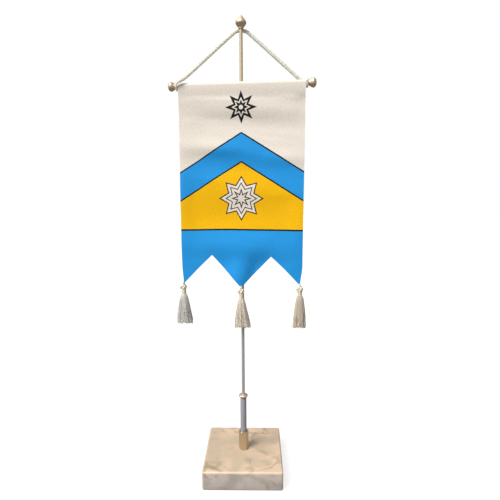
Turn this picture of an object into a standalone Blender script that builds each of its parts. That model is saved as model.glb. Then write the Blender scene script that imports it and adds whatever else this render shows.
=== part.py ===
"""Table pennant on its stand: a three-pointed cloth that hangs by a cord from a pole on a marble foot.

Metres, +Z up. The origin is the middle of the foot's underside, and the cloth's face looks along -Y.
"""

import math
import random
from collections import namedtuple

import bmesh
import bpy
from mathutils import Matrix, Vector

MM = 0.001
GAP = 0.3 * MM  # left between pieces that touch on the real object

# Marble foot, and the hexagonal socket that stands on it
BASE_WIDTH = 100 * MM
BASE_HEIGHT = 25 * MM
BASE_EDGE = 2.5 * MM
SOCKET_ACROSS_FLATS = 11 * MM
SOCKET_HEIGHT = 25.2 * MM
SOCKET_CHAMFER = 0.5 * MM
SOCKET_FLOOR = 6 * MM

# Tube in the socket, and the pole that runs from inside the tube to inside the finial
TUBE_RADIUS = 4.0 * MM
TUBE_TOP = 97 * MM
TUBE_FLOOR = 6 * MM
ROD_RADIUS = 2.0 * MM
ROD_TOP = 558 * MM
FINIAL_FOOT = 552.4 * MM

# Bar, hung across the pole's front and turned a little to the pole
BAR_HEIGHT = 488.7 * MM
BAR_RADIUS = 2.5 * MM
BAR_TURN = math.radians(-5)
KNOB_START = 78.3 * MM
KNOB_BORE = 5.4 * MM

# Cloth: thickness, the sleeve round the bar, and the flap behind it
CLOTH_THICKNESS = 1.0 * MM
SLEEVE_RADIUS = BAR_RADIUS + GAP + CLOTH_THICKNESS / 2
LAYER_HALF_PITCH = (CLOTH_THICKNESS + GAP) / 2
SEAM_DEPTH = 9 * MM
FLAP_DEPTH = 12 * MM
BAR_STANDOFF = ROD_RADIUS + GAP + SLEEVE_RADIUS + CLOTH_THICKNESS / 2
STRAIGHT_DEPTH = 150 * MM  # rows are level down to here, and then fan out to the points
LEFT_INSET = 1.4 * MM  # how far each side edge draws in over its last stretch
RIGHT_INSET = 2.6 * MM
INSET_FROM = 214 * MM
INSET_OVER = 25 * MM
DRIFT = 0.9 * MM  # how far left the cloth hangs low down
DRIFT_FROM = 20 * MM
DRIFT_OVER = 190 * MM

CORD_RADIUS = 2.1 * MM
CORD_VALLEY_RADIUS = 1.7 * MM
CORD_RING_SHARE = 0.65  # of its thickness, left where it is pulled tight round the bar's ends
CORD_THINS_FROM = 70 * MM
CORD_THINS_OVER = 5.5 * MM
CORD_PITCH = 11.6 * MM
CORD_STRANDS = 3
CORD_STEP = 1.25 * MM

# Turned outlines: radius and height above the piece's foot, from the top down
FINIAL_OUTLINE = (
    (0.5, 15.2),
    (2.2, 12.9),
    (4.2, 10.5),
    (6.0, 7.8),
    (6.2, 5.6),
    (4.5, 2.9),
    (3.2, 1.2),
    (3.0, 0.0),
)
KNOB_OUTLINE = ((1.5, 8.9), (3.9, 8.1), (5.4, 6.1), (5.2, 4.0), (3.8, 1.8), (3.3, 0.0))
COLLAR_OUTLINE = ((2.8, 4.4), (4.9, 3.8), (5.9, 2.7), (5.3, 1.2), (4.0, 0.0))

# Foot of the cloth: across from its middle, and depth under the bar's axis, point, notch, point
FootPoint = namedtuple("FootPoint", "across depth")
FOOT_LINE = (
    FootPoint(-75.0, 238.7),
    FootPoint(-36.5, 201.4),
    FootPoint(0.0, 241.8),
    FootPoint(36.5, 203.0),
    FootPoint(75.0, 238.7),
)
FOOT_STEPS = 4  # columns of cloth between two points of the foot line

# Soft ridges (height above 0) and hollows of the hanging cloth, in mm; slant is depth gained per mm across
Fold = namedtuple("Fold", "across depth half_across half_depth slant height")
FOLDS = (
    Fold(5, 25, 75, 10, 0.05, 1.5),
    Fold(20, 47, 65, 10, 0.05, -1.1),
    Fold(-28, 72, 42, 9, 0.08, 1.6),
    Fold(50, 84, 30, 9, 0.05, 1.3),
    Fold(-15, 95, 55, 10, 0.08, -1.0),
    Fold(10, 122, 60, 13, 0.03, 0.8),
    Fold(0, 152, 60, 16, 0.0, -0.9),
    Fold(-10, 191, 62, 17, 0.03, 2.6),
    Fold(-2, 236, 15, 26, 0.0, 3.2),
    Fold(30, 212, 13, 15, 0.0, -1.5),
    Fold(-73, 130, 12, 55, 0.0, 1.4),
    Fold(74, 22, 9, 18, 0.0, -1.6),
    Fold(70, 170, 14, 40, 0.0, 1.3),
)

# Tassels: place of the cloth's tip, length, half the width at the foot, depth to width, lean
Tassel = namedtuple("Tassel", "name across depth length foot_radius flatness lean seed")
TASSELS = (
    Tassel("tassel_left", -74.7, 238.7, 50.0, 10.3, 0.85, 0.6, 11),
    Tassel("tassel_centre", -0.9, 241.8, 49.4, 10.0, 0.74, 1.5, 22),
    Tassel("tassel_right", 71.4, 238.7, 51.5, 8.3, 0.9, -0.4, 33),
)
TASSEL_HEAD = (
    (1.3, 2.4),
    (1.9, 1.6),
    (1.9, -1.2),
    (2.9, -2.4),
    (3.4, -4.2),
    (3.0, -6.0),
    (2.4, -7.3),
    (2.9, -8.6),
    (2.9, -12.6),
    (3.3, -14.0),
)
TASSEL_SLOT_WIDTH = 1.9 * MM
TASSEL_ROOT_DEPTH = 12.6 * MM

# Rings of locks in a tassel: how many, root radius, share of the foot's radius, half size at root and foot
LockRing = namedtuple("LockRing", "count root_radius foot_share root_size foot_size")
LOCK_RINGS = (
    LockRing(16, 2.42, 0.93, 0.36, 1.45),
    LockRing(9, 1.45, 0.56, 0.36, 1.35),
    LockRing(4, 0.55, 0.22, 0.33, 1.1),
)
LOCK_STEPS = 4
LOCK_FLARE = 0.85  # under 1 the skirt opens faster at its top
LOCK_RAGGED = 1.6  # mm that a lock may be shorter or longer than its neighbours

# The cord's route from end to end, in mm: across, back from the bar's axis, above the bar's axis
CORD_ROUTE = (
    (-76.65, -2.0, 3.7),
    (-76.65, 0.0, 4.2),
    (-76.65, 2.97, 2.97),
    (-76.65, 4.2, 0.0),
    (-76.65, 2.97, -2.97),
    (-76.65, 0.0, -4.2),
    (-76.65, -2.97, -2.97),
    (-76.6, -4.3, -0.3),
    (-76.1, -5.3, 1.5),
    (-74.3, -6.0, 3.2),
    (-71.0, -5.3, 5.3),
    (-64.9, -2.9, 9.9),
    (-50.9, 0.6, 22.6),
    (-36.9, 3.4, 35.4),
    (-23.0, 6.2, 48.1),
    (-9.5, 9.3, 60.3),
    (-5.0, 10.7, 63.0),
    (-0.6, 11.5, 63.1),
    (3.4, 11.1, 62.6),
    (8.0, 10.3, 59.7),
    (25.0, 9.0, 44.6),
    (39.1, 8.1, 31.8),
    (53.2, 7.2, 19.0),
    (67.3, 6.4, 6.2),
    (72.0, 6.1, 2.3),
    (75.6, 5.4, -0.6),
    (76.6, 4.0, -2.0),
    (76.65, 2.2, -3.6),
    (76.65, 0.0, -4.2),
    (76.65, -2.97, -2.97),
    (76.65, -4.2, 0.0),
    (76.65, -2.97, 2.97),
    (76.65, 0.0, 4.2),
    (76.65, 2.0, 3.7),
)


def clear_scene():
    for obj in list(bpy.data.objects):
        bpy.data.objects.remove(obj, do_unlink=True)


def make_material(name, color, roughness, metallic=0.0):
    material = bpy.data.materials.new(name)
    material.use_nodes = True
    shader = material.node_tree.nodes["Principled BSDF"]
    shader.inputs["Base Color"].default_value = (*color, 1)
    shader.inputs["Roughness"].default_value = roughness
    shader.inputs["Metallic"].default_value = metallic
    material.diffuse_color = (*color, 1)
    return material


def add_object(name, bm, material=None, parent=None, location=(0, 0, 0), rotation=(0, 0, 0)):
    """Turns a bmesh into a named object, placed under its parent."""
    mesh = bpy.data.meshes.new(name)
    bm.to_mesh(mesh)
    bm.free()
    obj = bpy.data.objects.new(name, mesh)
    bpy.context.collection.objects.link(obj)
    if material:
        mesh.materials.append(material)
    obj.parent = parent
    obj.location = location
    obj.rotation_euler = rotation
    return obj


def smooth_round(obj, sharp_degrees=40):
    obj.data.shade_smooth()
    obj.data.set_sharp_from_angle(angle=math.radians(sharp_degrees))


def hide_helper(obj):
    obj.hide_render = True
    obj.display_type = "WIRE"


def add_boolean(obj, operation, helper):
    modifier = obj.modifiers.new(operation.title(), "BOOLEAN")
    modifier.operation = operation
    modifier.solver = "EXACT"
    modifier.object = helper
    hide_helper(helper)


def in_metres(points):
    return [Vector(point) * MM for point in points]


def smooth_curve(points, steps):
    """Points of a Catmull-Rom curve through the given vectors, with so many steps between two of them."""
    padded = [points[0] * 2 - points[1], *points, points[-1] * 2 - points[-2]]
    curve = []
    for before, start, end, after in zip(padded, padded[1:], padded[2:], padded[3:]):
        for step in range(steps):
            t = step / steps
            curve.append(
                0.5
                * (
                    2 * start
                    + (end - before) * t
                    + (2 * before - 5 * start + 4 * end - after) * t**2
                    + (3 * start - before - 3 * end + after) * t**3
                )
            )
    curve.append(points[-1])
    return curve


def smooth_outline(outline, steps=2):
    return [tuple(point) for point in smooth_curve(in_metres(outline), steps)]


def turned(outline, sides, ring=False):
    """Solid of (radius, height) points turned about Z, down an outer side and up a bore.

    A ring joins up with itself.
    """
    bm = bmesh.new()
    rings = []
    for radius, height in outline:
        if radius == 0:
            rings.append([bm.verts.new((0, 0, height))] * sides)
            continue
        angles = [math.tau * side / sides for side in range(sides)]
        rings.append([bm.verts.new((radius * math.cos(a), radius * math.sin(a), height)) for a in angles])
    following = rings[1:] + (rings[:1] if ring else [])
    for upper, lower in zip(rings, following):
        for side in range(sides):
            after = (side + 1) % sides
            corners = (upper[side], lower[side], lower[after], upper[after])
            bm.faces.new(dict.fromkeys(corners))
    return bm


def build_base(material):
    bm = bmesh.new()
    bmesh.ops.create_cube(bm, size=1)
    bmesh.ops.scale(bm, verts=bm.verts, vec=(BASE_WIDTH, BASE_WIDTH, BASE_HEIGHT))
    base = add_object("base", bm, material, location=(0, 0, BASE_HEIGHT / 2))
    bevel = base.modifiers.new("Eased edges", "BEVEL")
    bevel.width = BASE_EDGE
    bevel.segments = 3
    return base


def build_socket(material, foot):
    """Hexagonal bar, cut by a turned blank that has the end chamfers and the blind bore for the tube."""
    corner_radius = SOCKET_ACROSS_FLATS / math.sqrt(3)
    bm = bmesh.new()
    bmesh.ops.create_cone(
        bm,
        segments=6,
        radius1=corner_radius,
        radius2=corner_radius,
        depth=SOCKET_HEIGHT * 1.2,
        cap_ends=True,
    )
    corner_to_side = Matrix.Rotation(math.radians(30), 3, "Z")
    bmesh.ops.rotate(bm, verts=bm.verts, matrix=corner_to_side)
    bmesh.ops.translate(bm, verts=bm.verts, vec=(0, 0, SOCKET_HEIGHT / 2))
    socket = add_object("socket", bm, material, location=(0, 0, foot))
    bore = TUBE_RADIUS + GAP
    end_radius = corner_radius - SOCKET_CHAMFER
    blank_radius = corner_radius + GAP
    chamfer = blank_radius - end_radius
    outline = (
        (0, SOCKET_FLOOR),
        (bore, SOCKET_FLOOR),
        (bore, SOCKET_HEIGHT),
        (end_radius, SOCKET_HEIGHT),
        (blank_radius, SOCKET_HEIGHT - chamfer),
        (blank_radius, chamfer),
        (end_radius, 0),
        (0, 0),
    )
    blank = add_object("socket_blank", turned(outline, 24), location=(0, 0, foot))
    add_boolean(socket, "INTERSECT", blank)
    return socket


def build_tube(material, foot):
    outline = (
        (0, foot + TUBE_FLOOR),
        (ROD_RADIUS + GAP, foot + TUBE_FLOOR),
        (ROD_RADIUS + GAP, TUBE_TOP),
        (TUBE_RADIUS, TUBE_TOP),
        (TUBE_RADIUS, foot),
        (0, foot),
    )
    tube = add_object("tube", turned(outline, 20), material)
    smooth_round(tube)
    return tube


def build_rod(material, foot):
    edge = 0.4 * MM
    outline = (
        (0, ROD_TOP),
        (ROD_RADIUS - edge, ROD_TOP),
        (ROD_RADIUS, ROD_TOP - edge),
        (ROD_RADIUS, foot),
        (0, foot),
    )
    rod = add_object("rod", turned(outline, 16), material)
    smooth_round(rod)
    return rod


def build_collar(material):
    outer = smooth_outline(COLLAR_OUTLINE)
    bore = ROD_RADIUS + GAP
    outline = [(bore, outer[-1][1]), (bore, outer[0][1]), *outer]
    collar = add_object("collar", turned(outline, 20, ring=True), material, location=(0, 0, TUBE_TOP + GAP))
    smooth_round(collar)
    return collar


def build_finial(material):
    bore = ROD_RADIUS + GAP
    bore_top = ROD_TOP + GAP - FINIAL_FOOT
    outer = smooth_outline(FINIAL_OUTLINE)
    outline = [(0, outer[0][1]), *outer, (bore, 0), (bore, bore_top), (0, bore_top)]
    finial = add_object("finial", turned(outline, 20), material, location=(0, 0, FINIAL_FOOT))
    smooth_round(finial)
    return finial


def build_crossbar(material, hanging):
    half = KNOB_START + KNOB_BORE - GAP
    outline = ((0, half), (BAR_RADIUS, half), (BAR_RADIUS, -half), (0, -half))
    bar = add_object(
        "crossbar",
        turned(outline, 16),
        material,
        parent=hanging,
        rotation=(0, math.radians(90), 0),
    )
    smooth_round(bar)
    return bar


def build_knob(name, side, material, hanging):
    """Turned bar end with a blind bore. side is -1 for the left end and 1 for the right one."""
    bore = BAR_RADIUS + GAP
    outer = smooth_outline(KNOB_OUTLINE)
    outline = [(0, outer[0][1]), *outer, (bore, 0), (bore, KNOB_BORE), (0, KNOB_BORE)]
    knob = add_object(
        name,
        turned(outline, 18),
        material,
        parent=hanging,
        location=(side * KNOB_START, 0, 0),
        rotation=(0, side * math.radians(90), 0),
    )
    smooth_round(knob)
    return knob


def fade(value, start, length):
    """0 before start, 1 after start + length, and a smooth step between."""
    t = min(max((value - start) / length, 0), 1)
    return t * t * (3 - 2 * t)


def fold_height(across, depth):
    """How far forward the cloth stands at a place, from the table of folds."""
    total = 0
    for fold in FOLDS:
        centre = fold.depth * MM + fold.slant * (across - fold.across * MM)
        away = (across / MM - fold.across) / fold.half_across
        down = (depth - centre) / MM / fold.half_depth
        total += fold.height * MM * math.exp(-(away**2) - down**2)
    return total * fade(depth, SEAM_DEPTH, SEAM_DEPTH)


def foot_depth(across):
    """Depth of the cloth's zigzag foot at a place across."""
    for left, right in zip(FOOT_LINE, FOOT_LINE[1:]):
        if across <= right.across * MM:
            share = (across / MM - left.across) / (right.across - left.across)
            return (left.depth + (right.depth - left.depth) * share) * MM
    return FOOT_LINE[-1].depth * MM


def cloth_columns():
    columns = []
    for left, right in zip(FOOT_LINE, FOOT_LINE[1:]):
        for step in range(FOOT_STEPS):
            columns.append((left.across + (right.across - left.across) * step / FOOT_STEPS) * MM)
    return [*columns, FOOT_LINE[-1].across * MM]


def hung_across(across, depth):
    """Where a place across the flat cloth hangs: low down it drifts left and its edges draw in."""
    half_width = FOOT_LINE[-1].across * MM
    inset = RIGHT_INSET if across > 0 else LEFT_INSET
    drawn = across * (1 - inset / half_width * fade(depth, INSET_FROM, INSET_OVER))
    return drawn - DRIFT * fade(depth, DRIFT_FROM, DRIFT_OVER)


def sleeve_section(arc_steps=10):
    """Middle of the cloth in the sleeve, as (back, up) from the bar's axis, from flap round to seam."""
    reach = math.hypot(LAYER_HALF_PITCH, SEAM_DEPTH)
    tangent = math.asin(SLEEVE_RADIUS / reach) - math.atan2(LAYER_HALF_PITCH, SEAM_DEPTH)
    arc = []
    for step in range(arc_steps + 1):
        angle = -tangent + (math.pi + 2 * tangent) * step / arc_steps
        arc.append(Vector((SLEEVE_RADIUS * math.cos(angle), SLEEVE_RADIUS * math.sin(angle))))
    flap_end = Vector((LAYER_HALF_PITCH, -FLAP_DEPTH))
    flap_top = Vector((LAYER_HALF_PITCH, -SEAM_DEPTH))
    seam = Vector((-LAYER_HALF_PITCH, -SEAM_DEPTH))
    return [flap_end, flap_top, (flap_top + arc[0]) / 2, *arc, (arc[-1] + seam) / 2, seam]


def front_section(across, level_rows=20, fan_rows=12):
    """Middle of the cloth in one column under the seam, down to the foot."""
    foot = foot_depth(across)
    level = STRAIGHT_DEPTH - SEAM_DEPTH
    fan = foot - STRAIGHT_DEPTH
    depths = [SEAM_DEPTH + level * row / level_rows for row in range(1, level_rows + 1)]
    depths += [STRAIGHT_DEPTH + fan * row / fan_rows for row in range(1, fan_rows + 1)]
    return [Vector((-LAYER_HALF_PITCH - fold_height(across, depth), -depth)) for depth in depths]


def offset_section(section, distance):
    """The section moved sideways, to the left of its direction of travel."""
    moved = []
    for index, point in enumerate(section):
        before = section[max(index - 1, 0)]
        after = section[min(index + 1, len(section) - 1)]
        along = (after - before).normalized()
        moved.append(point + Vector((-along.y, along.x)) * distance)
    return moved


def build_banner(material, hanging):
    """One sheet: a grid for each side of the cloth, joined round all four edges."""
    bm = bmesh.new()
    columns = cloth_columns()
    sides = []
    for distance in (-CLOTH_THICKNESS / 2, CLOTH_THICKNESS / 2):
        grid = []
        for across in columns:
            section = sleeve_section() + front_section(across)
            points = offset_section(section, distance)
            grid.append([bm.verts.new((hung_across(across, -up), back, up)) for back, up in points])
        sides.append(grid)
    outer, inner = sides
    rows = len(outer[0])
    for left in range(len(columns) - 1):
        right = left + 1
        for row in range(rows - 1):
            for grid in sides:
                bm.faces.new((grid[left][row], grid[right][row], grid[right][row + 1], grid[left][row + 1]))
        for row in (0, rows - 1):
            bm.faces.new((outer[left][row], outer[right][row], inner[right][row], inner[left][row]))
    for column in (0, len(columns) - 1):
        front, behind = outer[column], inner[column]
        for row in range(rows - 1):
            bm.faces.new((front[row], front[row + 1], behind[row + 1], behind[row]))
    bmesh.ops.recalc_face_normals(bm, faces=bm.faces)
    banner = add_object("banner", bm, material, parent=hanging)
    smooth_round(banner, 50)
    return banner


def evenly_spaced(curve, spacing):
    """Points at an even distance along a curve, with its first and last points."""
    lengths = [0]
    for start, end in zip(curve, curve[1:]):
        lengths.append(lengths[-1] + (end - start).length)
    count = round(lengths[-1] / spacing)
    points = []
    segment = 0
    for index in range(count + 1):
        target = lengths[-1] * index / count
        while segment < len(curve) - 2 and lengths[segment + 1] < target:
            segment += 1
        share = (target - lengths[segment]) / (lengths[segment + 1] - lengths[segment])
        points.append(curve[segment].lerp(curve[segment + 1], share))
    return points


def cord_radius(angle):
    """Radius of the cord's three-lobed section at an angle from a strand's crest."""
    lobe = math.cos(CORD_STRANDS * angle) * 0.5 + 0.5
    return CORD_VALLEY_RADIUS + (CORD_RADIUS - CORD_VALLEY_RADIUS) * lobe


def build_cord(material, hanging, points_around=9):
    """The three-lobed section, swept along the route and turned once in each pitch, thinner in the rings."""
    path = evenly_spaced(smooth_curve(in_metres(CORD_ROUTE), 8), CORD_STEP)
    bm = bmesh.new()
    rings = []
    side = Vector((1, 0, 0))
    travelled = 0
    for index, centre in enumerate(path):
        before = path[max(index - 1, 0)]
        after = path[min(index + 1, len(path) - 1)]
        along = (after - before).normalized()
        side = (side - along * side.dot(along)).normalized()
        other = along.cross(side)
        travelled += (centre - before).length
        twist = math.tau * travelled / CORD_PITCH
        pulled = fade(abs(centre.x), CORD_THINS_FROM, CORD_THINS_OVER)
        thickness = 1 - (1 - CORD_RING_SHARE) * pulled
        ring = []
        for step in range(points_around):
            angle = math.tau * step / points_around
            radius = cord_radius(angle) * thickness
            turned_angle = angle + twist
            offset = side * math.cos(turned_angle) + other * math.sin(turned_angle)
            ring.append(bm.verts.new(centre + offset * radius))
        rings.append(ring)
    for start, end in zip(rings, rings[1:]):
        for step in range(points_around):
            after = (step + 1) % points_around
            bm.faces.new((start[step], start[after], end[after], end[step]))
    bm.faces.new(reversed(rings[0]))
    bm.faces.new(rings[-1])
    bmesh.ops.recalc_face_normals(bm, faces=bm.faces)
    cord = add_object("hanging_cord", bm, material, parent=hanging)
    smooth_round(cord, 60)
    return cord


def add_lock(bm, root, foot, root_size, foot_size, flatness):
    """A three-sided lock of yarn from root to foot, a flat side outwards, that widens as the skirt opens."""
    outwards = math.atan2(foot.y, foot.x)
    rings = []
    for step in range(LOCK_STEPS + 1):
        t = step / LOCK_STEPS
        flare = t**LOCK_FLARE
        size = root_size + (foot_size - root_size) * flare
        x = root.x + (foot.x - root.x) * flare
        y = (root.y + (foot.y - root.y) * flare) * (1 + (flatness - 1) * t)
        z = root.z + (foot.z - root.z) * t
        ring = []
        for corner in range(3):
            angle = outwards + math.pi + math.tau * corner / 3
            ring.append(bm.verts.new((x + size * math.cos(angle), y + size * flatness * math.sin(angle), z)))
        rings.append(ring)
    for upper, lower in zip(rings, rings[1:]):
        for corner in range(3):
            after = (corner + 1) % 3
            bm.faces.new((upper[corner], lower[corner], lower[after], upper[after]))
    bm.faces.new(rings[0])
    bm.faces.new(reversed(rings[-1]))


def build_locks(tassel):
    """All locks of one skirt. Their roots lie inside the wrapped neck."""
    rng = random.Random(tassel.seed)
    bm = bmesh.new()
    for ring in LOCK_RINGS:
        foot_radius = tassel.foot_radius * ring.foot_share * MM
        scale = tassel.foot_radius / TASSELS[0].foot_radius
        for index in range(ring.count):
            angle = math.tau * (index + 0.5) / ring.count
            stray = angle + rng.uniform(-0.04, 0.04)
            end = tassel.length + rng.uniform(-LOCK_RAGGED, LOCK_RAGGED)
            root = Vector((math.cos(angle), math.sin(angle), 0)) * ring.root_radius * MM
            root.z = -TASSEL_ROOT_DEPTH
            foot = Vector((math.cos(stray), math.sin(stray), 0)) * foot_radius
            foot.x += tassel.lean * MM
            foot.z = -end * MM
            add_lock(bm, root, foot, ring.root_size * MM, ring.foot_size * scale * MM, tassel.flatness)
    return bm


def build_tassel(tassel, material, hanging):
    """Turned head, slotted over the cloth's tip, with the locks joined into its neck."""
    depth = tassel.depth * MM
    tip_front = fold_height(tassel.across * MM, depth)
    place = (tassel.across * MM, -LAYER_HALF_PITCH - tip_front, -depth)
    outline = [(radius * MM, height * MM) for radius, height in TASSEL_HEAD]
    outline = [(0, outline[0][1]), *outline, (0, outline[-1][1])]
    head = add_object(tassel.name, turned(outline, 12), material, parent=hanging, location=place)

    slot_height = (TASSEL_HEAD[0][1] + 1) * MM
    bm = bmesh.new()
    bmesh.ops.create_cube(bm, size=1)
    bmesh.ops.scale(bm, verts=bm.verts, vec=(10 * MM, TASSEL_SLOT_WIDTH, slot_height + GAP))
    bmesh.ops.translate(bm, verts=bm.verts, vec=(0, 0, (slot_height - GAP) / 2))
    slot = add_object(tassel.name + "_slot", bm, parent=hanging, location=place)
    add_boolean(head, "DIFFERENCE", slot)
    locks = add_object(tassel.name + "_locks", build_locks(tassel), parent=hanging, location=place)
    add_boolean(head, "UNION", locks)
    return head


def build_pennant():
    clear_scene()
    marble = make_material("cream marble", (0.76, 0.70, 0.62), 0.35)
    brass = make_material("turned brass", (0.72, 0.57, 0.36), 0.28, 1.0)
    grey_metal = make_material("grey metal tube", (0.28, 0.28, 0.32), 0.45, 0.6)
    pale_metal = make_material("pale brass rod", (0.62, 0.54, 0.42), 0.35, 1.0)
    cloth = make_material("printed cloth", (0.05, 0.27, 0.62), 0.85)
    cord = make_material("cream cord", (0.80, 0.77, 0.68), 0.7)
    yarn = make_material("cream yarn", (0.58, 0.54, 0.46), 0.8)

    hanging = bpy.data.objects.new("hanging", None)
    bpy.context.collection.objects.link(hanging)
    hanging.location = (0, -BAR_STANDOFF / math.cos(BAR_TURN), BAR_HEIGHT)
    hanging.rotation_euler = (0, 0, BAR_TURN)

    socket_foot = BASE_HEIGHT + GAP
    tube_foot = socket_foot + SOCKET_FLOOR + GAP
    build_base(marble)
    build_socket(brass, socket_foot)
    build_tube(grey_metal, tube_foot)
    build_rod(pale_metal, tube_foot + TUBE_FLOOR + GAP)
    build_collar(brass)
    build_finial(brass)
    build_crossbar(pale_metal, hanging)
    build_knob("knob_left", -1, brass, hanging)
    build_knob("knob_right", 1, brass, hanging)
    build_banner(cloth, hanging)
    build_cord(cord, hanging)
    for tassel in TASSELS:
        build_tassel(tassel, yarn, hanging)


build_pennant()
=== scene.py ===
# %% [markdown]
# # A table pennant on its stand
# A small three-pointed cloth hangs by a twisted cord from a brass-tipped pole on a marble foot. The packed
# model gives every solid its place, and this lesson dresses it: cord, cloth, tassels, metal and stone.

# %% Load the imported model
import math

import bmesh
import bpy
from mathutils import Matrix, Vector, noise


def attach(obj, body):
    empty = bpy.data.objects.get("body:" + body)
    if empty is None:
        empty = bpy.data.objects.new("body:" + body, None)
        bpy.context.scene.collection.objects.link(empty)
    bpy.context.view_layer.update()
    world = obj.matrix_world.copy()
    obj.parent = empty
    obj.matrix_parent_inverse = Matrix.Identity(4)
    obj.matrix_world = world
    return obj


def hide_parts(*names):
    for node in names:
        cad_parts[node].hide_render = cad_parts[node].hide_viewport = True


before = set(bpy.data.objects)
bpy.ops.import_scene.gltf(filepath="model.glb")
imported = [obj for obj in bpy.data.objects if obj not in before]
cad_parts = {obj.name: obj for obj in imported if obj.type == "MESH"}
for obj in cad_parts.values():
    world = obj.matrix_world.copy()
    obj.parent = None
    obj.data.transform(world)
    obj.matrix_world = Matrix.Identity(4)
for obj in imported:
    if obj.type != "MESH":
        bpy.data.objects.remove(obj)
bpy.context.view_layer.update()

MM = 0.001

# %% [markdown]
# ## Camera
# The photograph was taken from a little above the middle of the cloth and close by, so the foot is seen
# from above and the finial from below. A pinhole camera fitted to the foot's corners, the pole and the bar
# gives the place, the turn and the focal length in pixels of a 500 pixel frame.

# %% Camera
FRAME_PIXELS = 500
FOCAL_PIXELS = 418.1
camera_place = Vector((18.3, -517.0, 366.4)) * MM
yaw, pitch, roll = (math.radians(angle) for angle in (-0.9735, 8.118, -0.241))

forward = Vector((math.sin(yaw) * math.cos(pitch), math.cos(yaw) * math.cos(pitch), -math.sin(pitch)))
level_right = Vector((math.cos(yaw), -math.sin(yaw), 0))
level_up = level_right.cross(forward)
right = level_right * math.cos(roll) + level_up * math.sin(roll)
up = level_up * math.cos(roll) - level_right * math.sin(roll)
turn = Matrix((right, up, -forward)).transposed().to_4x4()

camera = bpy.data.objects.new("camera", bpy.data.cameras.new("camera"))
camera.data.sensor_width = 36.0
camera.data.lens = camera.data.sensor_width * FOCAL_PIXELS / FRAME_PIXELS
camera.data.clip_start = 0.01
camera.matrix_world = Matrix.Translation(camera_place) @ turn
bpy.context.scene.collection.objects.link(camera)
bpy.context.scene.camera = camera
print("camera lens:", round(camera.data.lens, 2), "mm")

# %% [markdown]
# ## Helpers
# One small function adds a node to any tree, with its settings and its links, and returns the socket that
# the next node reads. Another turns the sRGB hex values of a colour chart into the linear values that
# shaders use. Meshes come from lists of points and faces, and a soft curve through a few points is a
# Catmull-Rom spline.

# %% Helpers for nodes and colours
def add(tree, kind, inputs=(), out=0, **settings):
    """Adds a node, sets or links its inputs, and returns one of its outputs."""
    node = tree.nodes.new(kind)
    for name, value in settings.items():
        setattr(node, name, value)
    for key, value in dict(inputs).items():
        if isinstance(value, bpy.types.NodeSocket):
            tree.links.new(value, node.inputs[key])
        else:
            node.inputs[key].default_value = value
    return node.outputs[out] if node.outputs else None


def linear(code):
    """An sRGB hex colour such as "c8ab8c" as linear red, green, blue and alpha."""
    parts = [int(code[start:start + 2], 16) / 255 for start in (0, 2, 4)]
    return (*[p / 12.92 if p <= 0.04045 else ((p + 0.055) / 1.055) ** 2.4 for p in parts], 1.0)


def new_material(name):
    """A material with an empty tree but for its output."""
    material = bpy.data.materials.new(name)
    material.use_nodes = True
    material.node_tree.nodes.clear()
    return material


# %% Helpers for meshes and curves
def mesh_object(name, points, faces, material=None, edges=()):
    mesh = bpy.data.meshes.new(name)
    mesh.from_pydata([tuple(point) for point in points], edges, faces)
    piece = bpy.data.objects.new(name, mesh)
    bpy.context.scene.collection.objects.link(piece)
    if material:
        mesh.materials.append(material)
    return piece


def soften(piece, degrees=40):
    """Smooth shading, but for edges sharper than the angle."""
    piece.data.shade_smooth()
    piece.data.set_sharp_from_angle(angle=math.radians(degrees))


def outwards(piece):
    """Merges doubles and turns all faces of a closed shape outwards."""
    bm = bmesh.new()
    bm.from_mesh(piece.data)
    bmesh.ops.remove_doubles(bm, verts=bm.verts, dist=1e-7)
    bmesh.ops.recalc_face_normals(bm, faces=bm.faces)
    bm.to_mesh(piece.data)
    bm.free()


def smooth_curve(points, steps):
    """Points of a Catmull-Rom curve through the given vectors."""
    padded = [points[0] * 2 - points[1], *points, points[-1] * 2 - points[-2]]
    curve = []
    for before, start, end, after in zip(padded, padded[1:], padded[2:], padded[3:]):
        for step in range(steps):
            t = step / steps
            square = (2 * before - 5 * start + 4 * end - after) * t**2
            cube = (3 * start - before - 3 * end + after) * t**3
            curve.append((2 * start + (end - before) * t + square + cube) / 2)
    return [*curve, points[-1]]


def evenly_spaced(curve, spacing):
    """Points at an even distance along a curve, with its first and last points."""
    lengths = [0]
    for start, end in zip(curve, curve[1:]):
        lengths.append(lengths[-1] + (end - start).length)
    count = round(lengths[-1] / spacing)
    points = []
    segment = 0
    for index in range(count + 1):
        target = lengths[-1] * index / count
        while segment < len(curve) - 2 and lengths[segment + 1] < target:
            segment += 1
        share = (target - lengths[segment]) / (lengths[segment + 1] - lengths[segment])
        points.append(curve[segment].lerp(curve[segment + 1], share))
    return points


def path_length(points):
    return sum((end - start).length for start, end in zip(points, points[1:]))


# %% Helpers that settle a finished piece
def settle(piece, slot, *replaced):
    """Lets a piece ride on the one body and stand for solids; the slot is not used."""
    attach(piece, "root")
    if replaced:
        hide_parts(*replaced)


def plain_mesh(piece):
    """Swaps a piece's Geometry Nodes for the mesh that they made."""
    bpy.context.view_layer.update()
    graph = bpy.context.evaluated_depsgraph_get()
    made = bpy.data.meshes.new_from_object(piece.evaluated_get(graph), depsgraph=graph)
    piece.modifiers.clear()
    piece.data = made
    return piece


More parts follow.
